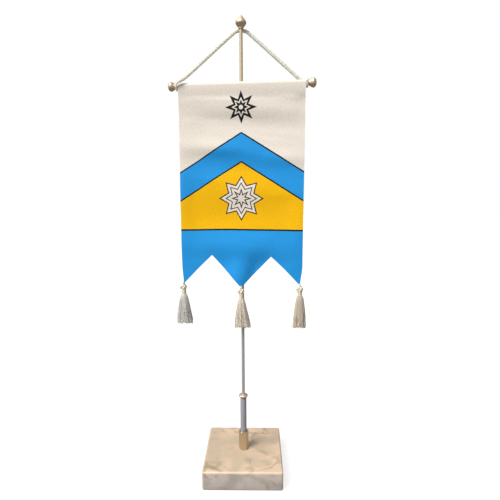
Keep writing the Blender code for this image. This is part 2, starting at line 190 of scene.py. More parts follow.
def node_group(name, numbers):
    """An empty Geometry Nodes tree with named number inputs, a material input and the two ends."""
    group = bpy.data.node_groups.new(name, "GeometryNodeTree")
    sockets = group.interface
    sockets.new_socket("Geometry", in_out="INPUT", socket_type="NodeSocketGeometry")
    for label, value in numbers.items():
        kind = "NodeSocketInt" if isinstance(value, int) else "NodeSocketFloat"
        sockets.new_socket(label, in_out="INPUT", socket_type=kind).default_value = value
    sockets.new_socket("Material", in_out="INPUT", socket_type="NodeSocketMaterial")
    sockets.new_socket("Geometry", in_out="OUTPUT", socket_type="NodeSocketGeometry")
    return group, group.nodes.new("NodeGroupInput").outputs


def end_tree(group, made, material):
    """Ends a tree with plain faces, smooth shading and the material."""
    made = add(group, "GeometryNodeRealizeInstances", {"Geometry": made})
    made = add(group, "GeometryNodeSetShadeSmooth", {"Geometry": made})
    made = add(group, "GeometryNodeSetMaterial", {"Geometry": made, "Material": material})
    add(group, "NodeGroupOutput", {"Geometry": made})
    print(group.name, "tree:", len(group.nodes), "nodes")


def grow(piece, group, material, **numbers):
    """Runs a node group on a piece, with its inputs set by identifier, and keeps the mesh."""
    modifier = piece.modifiers.new("Grow", "NODES")
    modifier.node_group = group
    inputs = [item for item in group.interface.items_tree if item.in_out == "INPUT"]
    named = {item.name: item.identifier for item in inputs}
    modifier[named["Material"]] = material
    for label, value in numbers.items():
        modifier[named[label.replace("_", " ")]] = value
    return plain_mesh(piece)


# %% [markdown]
# ## The frame in which the cloth hangs
# Bar, cloth, hanging cord and tassels hang on the pole's front, turned a little to it. Their points are
# worked out across, back and up from the bar's middle, and one matrix moves them to their place.

# %% Frame of the hanging pieces
BAR_HEIGHT = 488.7 * MM
BAR_STANDOFF = 6.1 * MM
BAR_TURN = math.radians(-5)
bar_middle = Matrix.Translation((0, -BAR_STANDOFF / math.cos(BAR_TURN), BAR_HEIGHT))
hang = bar_middle @ Matrix.Rotation(BAR_TURN, 4, "Z")
print("middle of the bar:", [round(part, 4) for part in hang.translation])

# %% [markdown]
# ## Hanging cord
# The real cord is three strands twisted together, a little over 4 mm thick, and thinner where it is pulled
# tight round the bar's ends. A lobed section swept along the route and turned once in each pitch gives the
# three strands. Geometry Nodes do this with Set Curve Tilt and Curve to Mesh, and store where each point
# lies along and around the cord, which the cord's finish reads for its fibres. The route goes once round
# the bar's left end, up behind the pole under the finial, and down round the right end.

# %% Route of the cord
CORD_DIAMETER = 4.2 * MM
CORD_PITCH = 11.6 * MM
CORD_ROUTE = (
    (-76.65, -2.0, 3.7), (-76.65, 0.0, 4.2), (-76.65, 2.97, 2.97), (-76.65, 4.2, 0.0), (-76.65, 2.97, -2.97),
    (-76.65, 0.0, -4.2), (-76.65, -2.97, -2.97), (-76.6, -4.3, -0.3), (-76.1, -5.3, 1.5), (-74.3, -6.0, 3.2),
    (-71.0, -5.3, 5.3), (-64.9, -2.9, 9.9), (-50.9, 0.6, 22.6), (-36.9, 3.4, 35.4), (-23.0, 6.2, 48.1),
    (-9.5, 9.3, 60.3), (-5.0, 10.7, 63.0), (-0.6, 11.5, 63.1), (3.4, 11.1, 62.6), (8.0, 10.3, 59.7),
    (25.0, 9.0, 44.6), (39.1, 8.1, 31.8), (53.2, 7.2, 19.0), (67.3, 6.4, 6.2), (72.0, 6.1, 2.3),
    (75.6, 5.4, -0.6), (76.6, 4.0, -2.0), (76.65, 2.2, -3.6), (76.65, 0.0, -4.2), (76.65, -2.97, -2.97),
    (76.65, -4.2, 0.0), (76.65, -2.97, 2.97), (76.65, 0.0, 4.2), (76.65, 2.0, 3.7),
)
CURVE_STEPS = 12
RING_SPACING = 0.6 * MM
route_curve = smooth_curve([Vector(point) * MM for point in CORD_ROUTE], CURVE_STEPS)
cord_points = evenly_spaced(route_curve, RING_SPACING)

# %% Twisted cord from Geometry Nodes
CORD_SIDES = 36
STRANDS = 3
CREST_ROUNDING = 0.75  # under 1, so that the strands are round and the valleys narrow
cord_group, given = node_group(
    "twisted cord",
    {
        "Radius": CORD_DIAMETER / 2, "Valley Radius": 1.9 * MM, "Pitch": CORD_PITCH, "Strands": STRANDS,
        "Ring Share": 0.65, "Thins From": 70 * MM, "Thin At": 75.5 * MM,
    },
)
travelled = add(cord_group, "GeometryNodeSplineParameter", out="Length")
turns = add(cord_group, "ShaderNodeMath", {0: travelled, 1: given["Pitch"]}, operation="DIVIDE")
tilt = add(cord_group, "ShaderNodeMath", {0: turns, 1: math.tau}, operation="MULTIPLY")
line = add(cord_group, "GeometryNodeMeshToCurve", {"Mesh": given["Geometry"]})
stored = {"Geometry": line, "Name": "along", "Value": travelled}
line = add(cord_group, "GeometryNodeStoreNamedAttribute", stored)
line = add(cord_group, "GeometryNodeSetCurveTilt", {"Curve": line, "Tilt": tilt})
across = add(cord_group, "ShaderNodeSeparateXYZ", {0: add(cord_group, "GeometryNodeInputPosition")}, out="X")
across = add(cord_group, "ShaderNodeMath", {0: across}, operation="ABSOLUTE")
thickness = add(
    cord_group, "ShaderNodeMapRange",
    {"Value": across, "From Min": given["Thins From"], "From Max": given["Thin At"], "To Min": 1.0,
     "To Max": given["Ring Share"]},
    interpolation_type="SMOOTHSTEP",
)

index = add(cord_group, "GeometryNodeInputIndex")
share = add(cord_group, "ShaderNodeMath", {0: index, 1: float(CORD_SIDES)}, operation="DIVIDE")
half_turn = add(cord_group, "ShaderNodeMath", {0: share, 1: math.pi}, operation="MULTIPLY")
lobes = add(cord_group, "ShaderNodeMath", {0: half_turn, 1: given["Strands"]}, operation="MULTIPLY")
wave = add(cord_group, "ShaderNodeMath", {0: lobes}, operation="COSINE")
crest = add(cord_group, "ShaderNodeMath", {0: wave}, operation="ABSOLUTE")
round_crest = add(cord_group, "ShaderNodeMath", {0: crest, 1: CREST_ROUNDING}, operation="POWER")
radius = add(
    cord_group, "ShaderNodeMapRange",
    {"Value": round_crest, "To Min": given["Valley Radius"], "To Max": given["Radius"]},
)
ring = add(cord_group, "GeometryNodeCurvePrimitiveCircle", {"Resolution": CORD_SIDES, "Radius": 1.0})
stored = {"Geometry": ring, "Name": "around", "Value": share}
ring = add(cord_group, "GeometryNodeStoreNamedAttribute", stored)
place = add(cord_group, "GeometryNodeInputPosition")
lobed = add(cord_group, "ShaderNodeVectorMath", {0: place, "Scale": radius}, operation="SCALE")
ring = add(cord_group, "GeometryNodeSetPosition", {"Geometry": ring, "Position": lobed})
tube = add(
    cord_group, "GeometryNodeCurveToMesh",
    {"Curve": line, "Profile Curve": ring, "Scale": thickness, "Fill Caps": True},
)
end_tree(cord_group, tube, given["Material"])

# %% [markdown]
# Finish of the cord: soft cream cotton-like yarn. Its fibres run nearly along the cord, because the yarns
# are spun one way and the strands are laid the other way. A fine wave round the cord that is turned back
# by the twist draws them, and the valleys between strands are painted darker as painted shade.

# %% Material: soft cream twisted yarn
VALLEY_END = 0.55  # height of the strand's crest, of 1, at which the valley's shade has faded
FIBRE_RELIEF = 0.06 * MM


def twisted_yarn(name, light, dark, light_depth, fibres=18, pitch=CORD_PITCH):
    """Twisted yarn. The light depth is how far light wanders in it."""
    material = new_material(name)
    tree = material.node_tree
    around = add(tree, "ShaderNodeAttribute", out="Fac", attribute_name="around")
    along = add(tree, "ShaderNodeAttribute", out="Fac", attribute_name="along")
    turned_back = add(tree, "ShaderNodeMath", {0: along, 1: pitch}, operation="DIVIDE")
    phase = add(tree, "ShaderNodeMath", {0: around, 1: turned_back}, operation="ADD")
    angle = add(tree, "ShaderNodeMath", {0: phase, 1: math.tau * fibres}, operation="MULTIPLY")
    fibre = add(tree, "ShaderNodeMath", {0: angle}, operation="SINE")
    lobe = add(tree, "ShaderNodeMath", {0: around, 1: math.pi * STRANDS}, operation="MULTIPLY")
    lobe = add(tree, "ShaderNodeMath", {0: lobe}, operation="COSINE")
    crest = add(tree, "ShaderNodeMath", {0: lobe}, operation="ABSOLUTE")
    # painted shade: the valleys between strands are darkened from here
    body = add(tree, "ShaderNodeMapRange", {"Value": crest, "From Max": VALLEY_END})
    here = add(tree, "ShaderNodeTexCoord", out="Object")
    patchy = add(tree, "ShaderNodeTexNoise", {"Vector": here, "Scale": 350.0, "Detail": 4.0})
    tone_and_valley_shade = add(tree, "ShaderNodeMath", {0: patchy, 1: 0.5, 2: body}, operation="MULTIPLY_ADD")
    tone_and_valley_shade = add(tree, "ShaderNodeMath", {0: tone_and_valley_shade, 1: 0.25}, operation="SUBTRACT", use_clamp=True)
    tones = {"Fac": tone_and_valley_shade, "Color1": linear(dark), "Color2": linear(light)}
    color = add(tree, "ShaderNodeMixRGB", tones)
    bump = add(tree, "ShaderNodeBump", {"Height": fibre, "Strength": 0.5, "Distance": FIBRE_RELIEF})
    shader = add(
        tree, "ShaderNodeBsdfPrincipled",
        {"Base Color": color, "Roughness": 0.75, "Normal": bump, "Specular IOR Level": 0.2,
         "Sheen Weight": 0.1, "Sheen Roughness": 0.4, "Subsurface Weight": 1.0,
         "Subsurface Radius": (1.0, 0.97, 0.9), "Subsurface Scale": light_depth},
    )
    add(tree, "ShaderNodeOutputMaterial", {"Surface": shader})
    return material


cream_cord = twisted_yarn("soft cream twisted yarn", "d6d4c9", "c8c5b9", 8 * MM)
print("cord finish:", len(cream_cord.node_tree.nodes), "nodes")

# %% The cord is grown and placed
links = [(number, number + 1) for number in range(len(cord_points) - 1)]
cord = mesh_object("cord_twisted", cord_points, [], edges=links)
grow(cord, cord_group, cream_cord)
cord.data.transform(hang)
settle(cord, "cord", "hanging_cord")
print("cord faces:", len(cord.data.polygons))

# %% [markdown]
# ## Cloth
# The pennant is one sheet of printed polyester: a sleeve turned over the bar and stitched behind, and
# three points cut at the foot. It hangs nearly flat, with soft uneven ridges and hollows. Each is a row of
# a table, in the cloth's own millimetres, and its height fades out around it. The same rows shape the
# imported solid, and a finer table adds the creases that a solid can't hold.

# %% Folds of the cloth: across, depth, half across, half depth, slant, height
FOLDS = (
    (5, 25, 75, 10, 0.05, 1.5), (20, 47, 65, 10, 0.05, -1.1), (-28, 72, 42, 9, 0.08, 1.6),
    (50, 84, 30, 9, 0.05, 1.3), (-15, 95, 55, 10, 0.08, -1.0), (10, 122, 60, 13, 0.03, 0.8),
    (0, 152, 60, 16, 0.0, -0.9), (-10, 191, 62, 17, 0.03, 2.6), (-2, 236, 15, 26, 0.0, 3.2),
    (30, 212, 13, 15, 0.0, -1.5), (-73, 130, 12, 55, 0.0, 1.4), (74, 22, 9, 18, 0.0, -1.6),
    (70, 170, 14, 40, 0.0, 1.3),
)
CREASES = (
    (-52, 14, 12, 3.0, 0.10, 0.22), (-18, 17, 16, 3.5, 0.06, 0.25), (22, 14, 18, 3.0, 0.06, -0.22),
    (58, 15, 9, 3.5, 0.20, 0.30), (-60, 40, 10, 4.0, -0.15, 0.20), (38, 60, 22, 4.0, 0.12, -0.25),
    (-40, 110, 20, 5.0, 0.10, 0.25), (48, 128, 18, 5.0, -0.08, 0.25), (18, 172, 26, 5.0, 0.05, -0.3),
    (-50, 214, 12, 7.0, 0.25, 0.3), (56, 222, 11, 7.0, -0.20, 0.3), (-8, 226, 13, 18, 0.0, 1.7),
    (15, 226, 9, 17, -0.4, -2.2), (74, 22, 9, 18, 0.0, 0.8), (-20, 38, 45, 5, 0.04, -0.3),
    (-30, 84, 40, 7, 0.06, -0.4),
)
SEAM_DEPTH = 9 * MM
FLAP_DEPTH = 12 * MM
SLEEVE_RADIUS = 3.3 * MM
LAYER_HALF_PITCH = 0.65 * MM
SLEEVE_FADES_OVER = 27 * MM
FOLD_GAIN = 1.25
print("folds:", len(FOLDS), "and creases:", len(CREASES))


def fade(value, start, length):
    """0 before start, 1 after start + length, and a smooth step between."""
    t = min(max((value - start) / length, 0), 1)
    return t * t * (3 - 2 * t)


def fold_height(across, depth, tables=(FOLDS,)):
    """How far forward the cloth stands at a place."""
    total = 0
    for table in tables:
        for place, low, half_across, half_depth, slant, height in table:
            away = (across / MM - place) / half_across
            down = (depth / MM - low - slant * (across / MM - place)) / half_depth
            total += height * MM * math.exp(-(away**2) - down**2)
    return total * fade(depth, SEAM_DEPTH, SEAM_DEPTH) * FOLD_GAIN


def front_layer(depth):
    """How far forward the flat cloth hangs: off the bar's front, and then slowly back under its middle."""
    off_bar = 1 - fade(depth, 0, SLEEVE_FADES_OVER)
    return LAYER_HALF_PITCH + (SLEEVE_RADIUS - LAYER_HALF_PITCH) * off_bar


# %% Outline and rows of the cloth
HALF_WIDTH = 75.0  # mm
FOOT_LINE = ((-HALF_WIDTH, 238.7), (-36.5, 201.4), (0.0, 241.8), (36.5, 203.0), (HALF_WIDTH, 238.7))
COLUMNS_PER_SIDE = 30
STRAIGHT_DEPTH = 150 * MM
EDGE_INSET = 1.4 * MM
RIGHT_EDGE_INSET = 2.6 * MM
EDGE_INSET_FROM = 214 * MM
EDGE_INSET_OVER = 25 * MM
DRIFT = 0.9 * MM
DRIFT_FROM = 20 * MM
DRIFT_OVER = 190 * MM
CLOTH_THICKNESS = 0.6 * MM
FLAP_ROWS = 3
BACK_ROWS = 5
FRONT_ROWS = 8
LEVEL_ROWS = 110
FAN_ROWS = 60
RIPPLE_WIDTH = 17 * MM
RIPPLE_HEIGHT = 0.16 * MM


def cloth_columns():
    """Places across the cloth and the foot's depth there, so that points and notches have a column."""
    columns = []
    for (left, left_depth), (far, far_depth) in zip(FOOT_LINE, FOOT_LINE[1:]):
        for step in range(COLUMNS_PER_SIDE):
            t = step / COLUMNS_PER_SIDE
            across = left + (far - left) * t
            depth = left_depth + (far_depth - left_depth) * t
            columns.append((across * MM, depth * MM))
    return [*columns, (FOOT_LINE[-1][0] * MM, FOOT_LINE[-1][1] * MM)]


def hung_across(across, depth):
    """Where a place across the flat cloth hangs: low down its edges curl in and it drifts a little left."""
    most_inset = RIGHT_EDGE_INSET if across > 0 else EDGE_INSET
    inset = most_inset * fade(depth, EDGE_INSET_FROM, EDGE_INSET_OVER)
    return across * (1 - inset / (HALF_WIDTH * MM)) - DRIFT * fade(depth, DRIFT_FROM, DRIFT_OVER)


def sleeve_section(arc_steps=28):
    """Middle of the cloth in the sleeve, as (back, up) from the bar: flap, round the bar, to the seam."""
    reach = math.hypot(LAYER_HALF_PITCH, SEAM_DEPTH)
    tangent = math.asin(SLEEVE_RADIUS / reach) - math.atan2(LAYER_HALF_PITCH, SEAM_DEPTH)
    arc = []
    for step in range(arc_steps + 1):
        angle = -tangent + (math.pi + tangent) * step / arc_steps
        arc.append(Vector((SLEEVE_RADIUS * math.cos(angle), SLEEVE_RADIUS * math.sin(angle))))
    flap_end = Vector((LAYER_HALF_PITCH, -FLAP_DEPTH))
    flap_top = Vector((LAYER_HALF_PITCH, -SEAM_DEPTH))
    flap = [flap_end.lerp(flap_top, row / FLAP_ROWS) for row in range(FLAP_ROWS)]
    back = [flap_top.lerp(arc[0], row / BACK_ROWS) for row in range(BACK_ROWS)]
    depths = [SEAM_DEPTH * row / FRONT_ROWS for row in range(1, FRONT_ROWS + 1)]
    return [*flap, *back, *arc, *[Vector((-front_layer(depth), -depth)) for depth in depths]]


def front_section(across, foot):
    """Middle of the cloth in one column, from under the seam to the foot."""
    depths = []
    for start, end, rows in ((SEAM_DEPTH, STRAIGHT_DEPTH, LEVEL_ROWS), (STRAIGHT_DEPTH, foot, FAN_ROWS)):
        depths += [start + (end - start) * row / rows for row in range(1, rows + 1)]
    section = []
    for depth in depths:
        ripple = noise.noise(Vector((across, depth, 0)) / RIPPLE_WIDTH) * RIPPLE_HEIGHT
        ripple *= fade(depth, SEAM_DEPTH, SEAM_DEPTH)
        forward_by = fold_height(across, depth, (FOLDS, CREASES)) + ripple
        section.append(Vector((-front_layer(depth) - forward_by, -depth)))
    return section


def offset_section(section, distance):
    """The section moved sideways, to the left of its direction of travel."""
    moved = []
    for number, point in enumerate(section):
        before = section[max(number - 1, 0)]
        after = section[min(number + 1, len(section) - 1)]
        along = (after - before).normalized()
        moved.append(point + Vector((-along.y, along.x)) * distance)
    return moved


# %% [markdown]
# The cloth is woven into a grid: one column of points for each place across, one row for each step from
# the flap, over the bar and down. A second grid behind it gives the sheet its thickness, and a strip
# closes all four edges. The UV map holds the place on the flat cloth in millimetres, so print and weave
# follow the folds.

# %% The sheet
def build_cloth(material):
    sleeve = sleeve_section()
    columns = cloth_columns()
    sections = [sleeve + front_section(across, foot) for across, foot in columns]
    rows = len(sections[0])
    top_row = max(range(len(sleeve)), key=lambda row: sleeve[row].y)
    points, flat = [], []
    for side in (-1, 1):
        for (across, _), section in zip(columns, sections):
            depth = 0
            depths = [0.0]
            for start, end in zip(section, section[1:]):
                depth += (end - start).length
                depths.append(depth)
            face = offset_section(section, side * CLOTH_THICKNESS / 2)
            for row, (back, height) in enumerate(face):
                points.append((hung_across(across, -height), back, height))
                flat.append((across / MM, (depths[row] - depths[top_row]) / MM))
    count = len(columns) * rows

    def corner(side, column, row):
        return side * count + column * rows + row

    faces = []
    for column in range(len(columns) - 1):
        for row in range(rows - 1):
            quad = [(column, row), (column + 1, row), (column + 1, row + 1), (column, row + 1)]
            faces.append([corner(0, *place) for place in quad])
            faces.append([corner(1, *place) for place in reversed(quad)])
    rim = [(column, 0) for column in range(len(columns))]
    rim += [(len(columns) - 1, row) for row in range(1, rows)]
    rim += [(column, rows - 1) for column in reversed(range(len(columns) - 1))]
    rim += [(0, row) for row in reversed(range(1, rows - 1))]
    for start, end in zip(rim, rim[1:] + rim[:1]):
        faces.append([corner(0, *end), corner(0, *start), corner(1, *start), corner(1, *end)])
    cloth = mesh_object("cloth_sheet", points, faces, material)
    layer = cloth.data.uv_layers.new(name="flat_cloth")
    for loop in cloth.data.loops:
        layer.data[loop.index].uv = flat[loop.vertex_index]
    sleeve_length = path_length(sleeve)
    soften(cloth, 60)
    return cloth, sleeve_length


# %% [markdown]
# ## Print and weave
# The print is flat colour with a thin black edging: cream above, a straight-edged blue chevron, a gold
# field and a blue foot. A black rosette and an eight-pointed star are drawn from polar coordinates: the
# angle is folded into one sector, and a straight line across that sector is the petal's or the point's
# edge. Under the ink lies the weave, at twice its real 0.35 mm pitch so that it shows, and a soft mottle
# from uneven ink.

# %% Print: the distance from a star
SECTORS = 8


def star_distance(tree, across, down, centre, tip, notch):
    """How far a place lies outside a star, in mm, from the line between its tip and its notch."""
    x = add(tree, "ShaderNodeMath", {0: across, 1: centre[0]}, operation="SUBTRACT")
    y = add(tree, "ShaderNodeMath", {0: down, 1: centre[1]}, operation="SUBTRACT")
    x_part = add(tree, "ShaderNodeMath", {0: x, 1: x}, operation="MULTIPLY")
    square = add(tree, "ShaderNodeMath", {0: y, 1: y, 2: x_part}, operation="MULTIPLY_ADD")
    reach = add(tree, "ShaderNodeMath", {0: square}, operation="SQRT")
    angle = add(tree, "ShaderNodeMath", {0: x, 1: y}, operation="ARCTAN2")
    half_sector = math.pi / SECTORS
    folded = add(tree, "ShaderNodeMath", {0: angle, 1: half_sector}, operation="PINGPONG")
    along = add(tree, "ShaderNodeMath", {0: folded}, operation="COSINE")
    aside = add(tree, "ShaderNodeMath", {0: folded}, operation="SINE")
    edge = Vector((notch * math.cos(half_sector) - tip, notch * math.sin(half_sector)))
    normal = Vector((edge.y, -edge.x)).normalized()
    along = add(tree, "ShaderNodeMath", {0: along, 1: normal.x}, operation="MULTIPLY")
    leaning = add(tree, "ShaderNodeMath", {0: aside, 1: normal.y, 2: along}, operation="MULTIPLY_ADD")
    shifted = add(tree, "ShaderNodeMath", {0: reach, 1: leaning}, operation="MULTIPLY")
    return add(tree, "ShaderNodeMath", {0: shifted, 1: tip * normal.x}, operation="SUBTRACT")


# %% [markdown]
# The print is a pile of layers, each over the last: first the chevron's and the foot's edges in black and
# their fields inside them, then the motifs from the widest to the smallest. A layer's colour shows where
# its distance has passed a value, and a quarter of a millimetre softens each edge, as ink does on thread.

# %% Print: fields and motifs
CREAM = "e8e1d9"
BLUE = "2296e4"
GOLD = "f2ba00"
BLACK = "14181a"
INK_EDGE = 2.0  # mm, width of the black edging
SOFT_EDGE = 0.25  # mm over which one colour gives way to the next
CHEVRON_SLOPE = 0.62
CHEVRON_DEPTHS = (60.0, 94.0)
FOOT_DEPTH = 176.0
ROSETTE = (0.0, 31.0)
STAR = (0.0, 138.0)
# centre, reach of a point, reach of a notch, ink
MOTIFS = (
    (ROSETTE, 19.0, 9.6, BLACK), (ROSETTE, 11.4, 6.6, CREAM), (ROSETTE, 8.6, 4.6, BLACK),
    (ROSETTE, 2.6, 2.6, CREAM),
    (STAR, 27.4, 17.4, BLACK), (STAR, 24.8, 15.7, CREAM), (STAR, 19.6, 12.4, BLACK),
    (STAR, 17.4, 11.0, CREAM), (STAR, 12.6, 5.8, BLACK), (STAR, 8.8, 3.6, CREAM),
)


def printed_design(tree, across, down):
    """Colour of the print at a place on the flat cloth."""
    aside = add(tree, "ShaderNodeMath", {0: across}, operation="ABSOLUTE")
    slope = add(tree, "ShaderNodeMath", {0: aside, 1: -CHEVRON_SLOPE, 2: down}, operation="MULTIPLY_ADD")
    layers = []
    for line, depth, field in (
        (slope, CHEVRON_DEPTHS[0], BLUE), (slope, CHEVRON_DEPTHS[1], GOLD), (down, FOOT_DEPTH, BLUE),
    ):
        for start, ink in ((depth - INK_EDGE / 2, BLACK), (depth + INK_EDGE / 2, field)):
            layers.append((line, start, start + SOFT_EDGE, ink))
    for centre, tip, notch, ink in MOTIFS:
        outside = star_distance(tree, across, down, centre, tip, notch)
        layers.append((outside, SOFT_EDGE / 2, -SOFT_EDGE / 2, ink))
    color = linear(CREAM)
    for distance, start, end, ink in layers:
        shows = add(tree, "ShaderNodeMapRange", {"Value": distance, "From Min": start, "From Max": end})
        color = add(tree, "ShaderNodeMixRGB", {"Fac": shows, "Color1": color, "Color2": linear(ink)})
    return color


print("motif outlines:", len(MOTIFS))

# %% Material: printed satin-faced polyester
THREAD_PITCH = 0.7  # mm, twice the real pitch, so that it shows


def printed_polyester():
    material = new_material("printed satin-faced polyester")
    tree = material.node_tree
    flat = add(tree, "ShaderNodeUVMap", uv_map="flat_cloth")
    across = add(tree, "ShaderNodeSeparateXYZ", {0: flat}, out="X")
    down = across.node.outputs["Y"]
    color = printed_design(tree, across, down)

    noise_settings = {"Vector": flat, "Scale": 0.42, "Detail": 5.0, "Roughness": 0.8}
    mottle = add(tree, "ShaderNodeTexNoise", noise_settings)
    mottle_range = {"Value": mottle, "From Min": 0.3, "From Max": 0.7, "To Min": 0.88, "To Max": 1.10}
    mottle = add(tree, "ShaderNodeMapRange", mottle_range)
    color = add(tree, "ShaderNodeVectorMath", {0: color, "Scale": mottle}, operation="SCALE")

    heights = []
    for direction in (across, down):
        phase = add(tree, "ShaderNodeMath", {0: direction, 1: math.tau / THREAD_PITCH}, operation="MULTIPLY")
        heights.append(add(tree, "ShaderNodeMath", {0: phase}, operation="SINE"))
    weave = add(tree, "ShaderNodeMath", {0: heights[0], 1: heights[1]}, operation="MULTIPLY")
    fuzz = add(tree, "ShaderNodeTexNoise", {"Vector": flat, "Scale": 1.6, "Detail": 3.0})
    relief = add(tree, "ShaderNodeMath", {0: weave, 1: 0.25, 2: fuzz}, operation="MULTIPLY_ADD")
    bump = add(tree, "ShaderNodeBump", {"Height": relief, "Strength": 0.55, "Distance": 0.08 * MM})
    shader = add(
        tree, "ShaderNodeBsdfPrincipled",
        {"Base Color": color, "Roughness": 0.7, "Normal": bump, "Specular IOR Level": 0.18,
         "Sheen Weight": 0.04, "Sheen Roughness": 0.5},
    )
    add(tree, "ShaderNodeOutputMaterial", {"Surface": shader})
    return material


cloth, sleeve_length = build_cloth(printed_polyester())
cloth.data.transform(hang)
print("cloth faces:", len(cloth.data.polygons), "sleeve and flap:", round(sleeve_length / MM, 1), "mm")

# %% [markdown]
# ## Stitches of the sleeve
# The flap behind the bar is caught by a row of slanted stitches that doesn't show on the face. Each stitch
# is a small rounded bead. Geometry Nodes set them along a line, every other one slanted the other way.

# %% Stitches from Geometry Nodes
stitch_group, given = node_group("row of stitches", {"Count": 52, "Pitch": 2.85 * MM, "Slant": 0.5})
number = add(stitch_group, "GeometryNodeInputIndex")
step = add(stitch_group, "ShaderNodeCombineXYZ", {"X": given["Pitch"]})
row = add(stitch_group, "GeometryNodeMeshLine", {"Count": given["Count"], "Offset": step}, mode="OFFSET")
parity = add(stitch_group, "ShaderNodeMath", {0: number, 1: 2.0}, operation="MODULO")
other_way = add(stitch_group, "ShaderNodeMath", {0: given["Slant"], 1: -1.0}, operation="MULTIPLY")
slants = {"Value": parity, "To Min": given["Slant"], "To Max": other_way}
slant = add(stitch_group, "ShaderNodeMapRange", slants)
turned = add(stitch_group, "ShaderNodeCombineXYZ", {"Y": slant})
bead = add(stitch_group, "GeometryNodeMeshUVSphere", {"Segments": 8, "Rings": 6, "Radius": 1 * MM})
bead = add(stitch_group, "GeometryNodeTransform", {"Geometry": bead, "Scale": (1.25, 0.28, 0.3)})
placed = {"Points": row, "Instance": bead, "Rotation": turned}
beads = add(stitch_group, "GeometryNodeInstanceOnPoints", placed)
end_tree(stitch_group, beads, given["Material"])

# %% The row is set on the flap
FIRST_STITCH = Vector((-72.7, 1.0, -10.6)) * MM
stitches = grow(mesh_object("hem_stitches", [], []), stitch_group, cream_cord)
stitches.data.transform(Matrix.Translation(FIRST_STITCH))
stitches.data.transform(hang)
settle(stitches, "cloth")
print("stitches:", len(stitches.data.polygons), "faces")

# %% [markdown]
# ## Tassels
# A tassel is a bundle of loose yarn that is knotted to the cloth's tip and wrapped under the knot. Its
# knot is a cord that winds round and through itself, drawn here as a torus knot round a small core, with a
# loop that sticks out at its left. The neck is a close coil of thread. The skirt is a few hundred threads
# that leave the neck together and hang in soft clumps, so Geometry Nodes lay one line for each and bend
# all by one rule.

# %% Skirt: its inputs and one straight line for each thread
GOLDEN_ANGLE = 2.399963
POINTS_ON_THREAD = 15
skirt_group, given = node_group(
    "skirt of threads",
    {
        "Threads": 560, "Root Depth": 12.4 * MM, "Root Radius": 2.5 * MM, "Foot Radius": 9.0 * MM,
        "Length": 51.0 * MM, "Flatness": 0.8, "Lean": 0.5 * MM, "Flare": 0.7, "Thread Radius": 0.29 * MM,
        "Seed": 1,
    },
)
thread_line = add(skirt_group, "GeometryNodeCurvePrimitiveLine", {"End": (0, 0, -1)})
line_points = {"Curve": thread_line, "Count": POINTS_ON_THREAD}
thread_line = add(skirt_group, "GeometryNodeResampleCurve", line_points)
roots = add(skirt_group, "GeometryNodePoints", {"Count": given["Threads"]})
threads = add(skirt_group, "GeometryNodeInstanceOnPoints", {"Points": roots, "Instance": thread_line})
threads = add(skirt_group, "GeometryNodeRealizeInstances", {"Geometry": threads})
point_number = add(skirt_group, "GeometryNodeInputIndex")
own = add(skirt_group, "GeometryNodeFieldOnDomain", {0: point_number}, domain="CURVE", data_type="INT")
down = add(skirt_group, "GeometryNodeSplineParameter", out="Factor")
print("skirt tree so far:", len(skirt_group.nodes), "nodes")

# %% Skirt: what chance gives to each thread, and a slow waver along it
# result, lowest, highest, what is added to the seed
CHANCES = (
    ("swerve", -0.10, 0.10, 1.0), ("odd one", 0.0, 1.0, 2.0), ("spread", 0.93, 1.02, 3.0),
    ("own length", 0.93, 1.01, 4.0), ("tone", 0.0, 1.0, 5.0),
)
found = {"own": own, "down": down}
for result, low, high, extra in CHANCES:
    seed = add(skirt_group, "ShaderNodeMath", {0: given["Seed"], 1: extra}, operation="ADD")
    settings = {2: low, 3: high, "ID": own, "Seed": seed}
    found[result] = add(skirt_group, "FunctionNodeRandomValue", settings, out=1, data_type="FLOAT")
apart = add(skirt_group, "ShaderNodeMath", {0: own, 1: 3.7}, operation="MULTIPLY")
onwards = add(skirt_group, "ShaderNodeMath", {0: down, 1: 2.2}, operation="MULTIPLY")
waver_place = add(skirt_group, "ShaderNodeCombineXYZ", {"X": apart, "Y": onwards})
waver_settings = {"Vector": waver_place, "Scale": 1.0, "Detail": 1.0}
waver = add(skirt_group, "ShaderNodeTexNoise", waver_settings, out="Color")
found["waver across"] = add(skirt_group, "ShaderNodeSeparateXYZ", {0: waver}, out="X")
found["waver back"] = found["waver across"].node.outputs["Y"]
print("chances for each thread:", len(CHANCES))

# %% [markdown]
# Where a thread goes is worked out by sums. The table reads like a list of formulas: each row names a
# result, the kind of sum and its terms, which are numbers, inputs of the tree or results of rows above. A
# thread starts at its own angle round the neck, is drawn towards a clump on its way down, swings out to
# its own reach at the foot and ends a little short or long. One loop makes a node for each row.

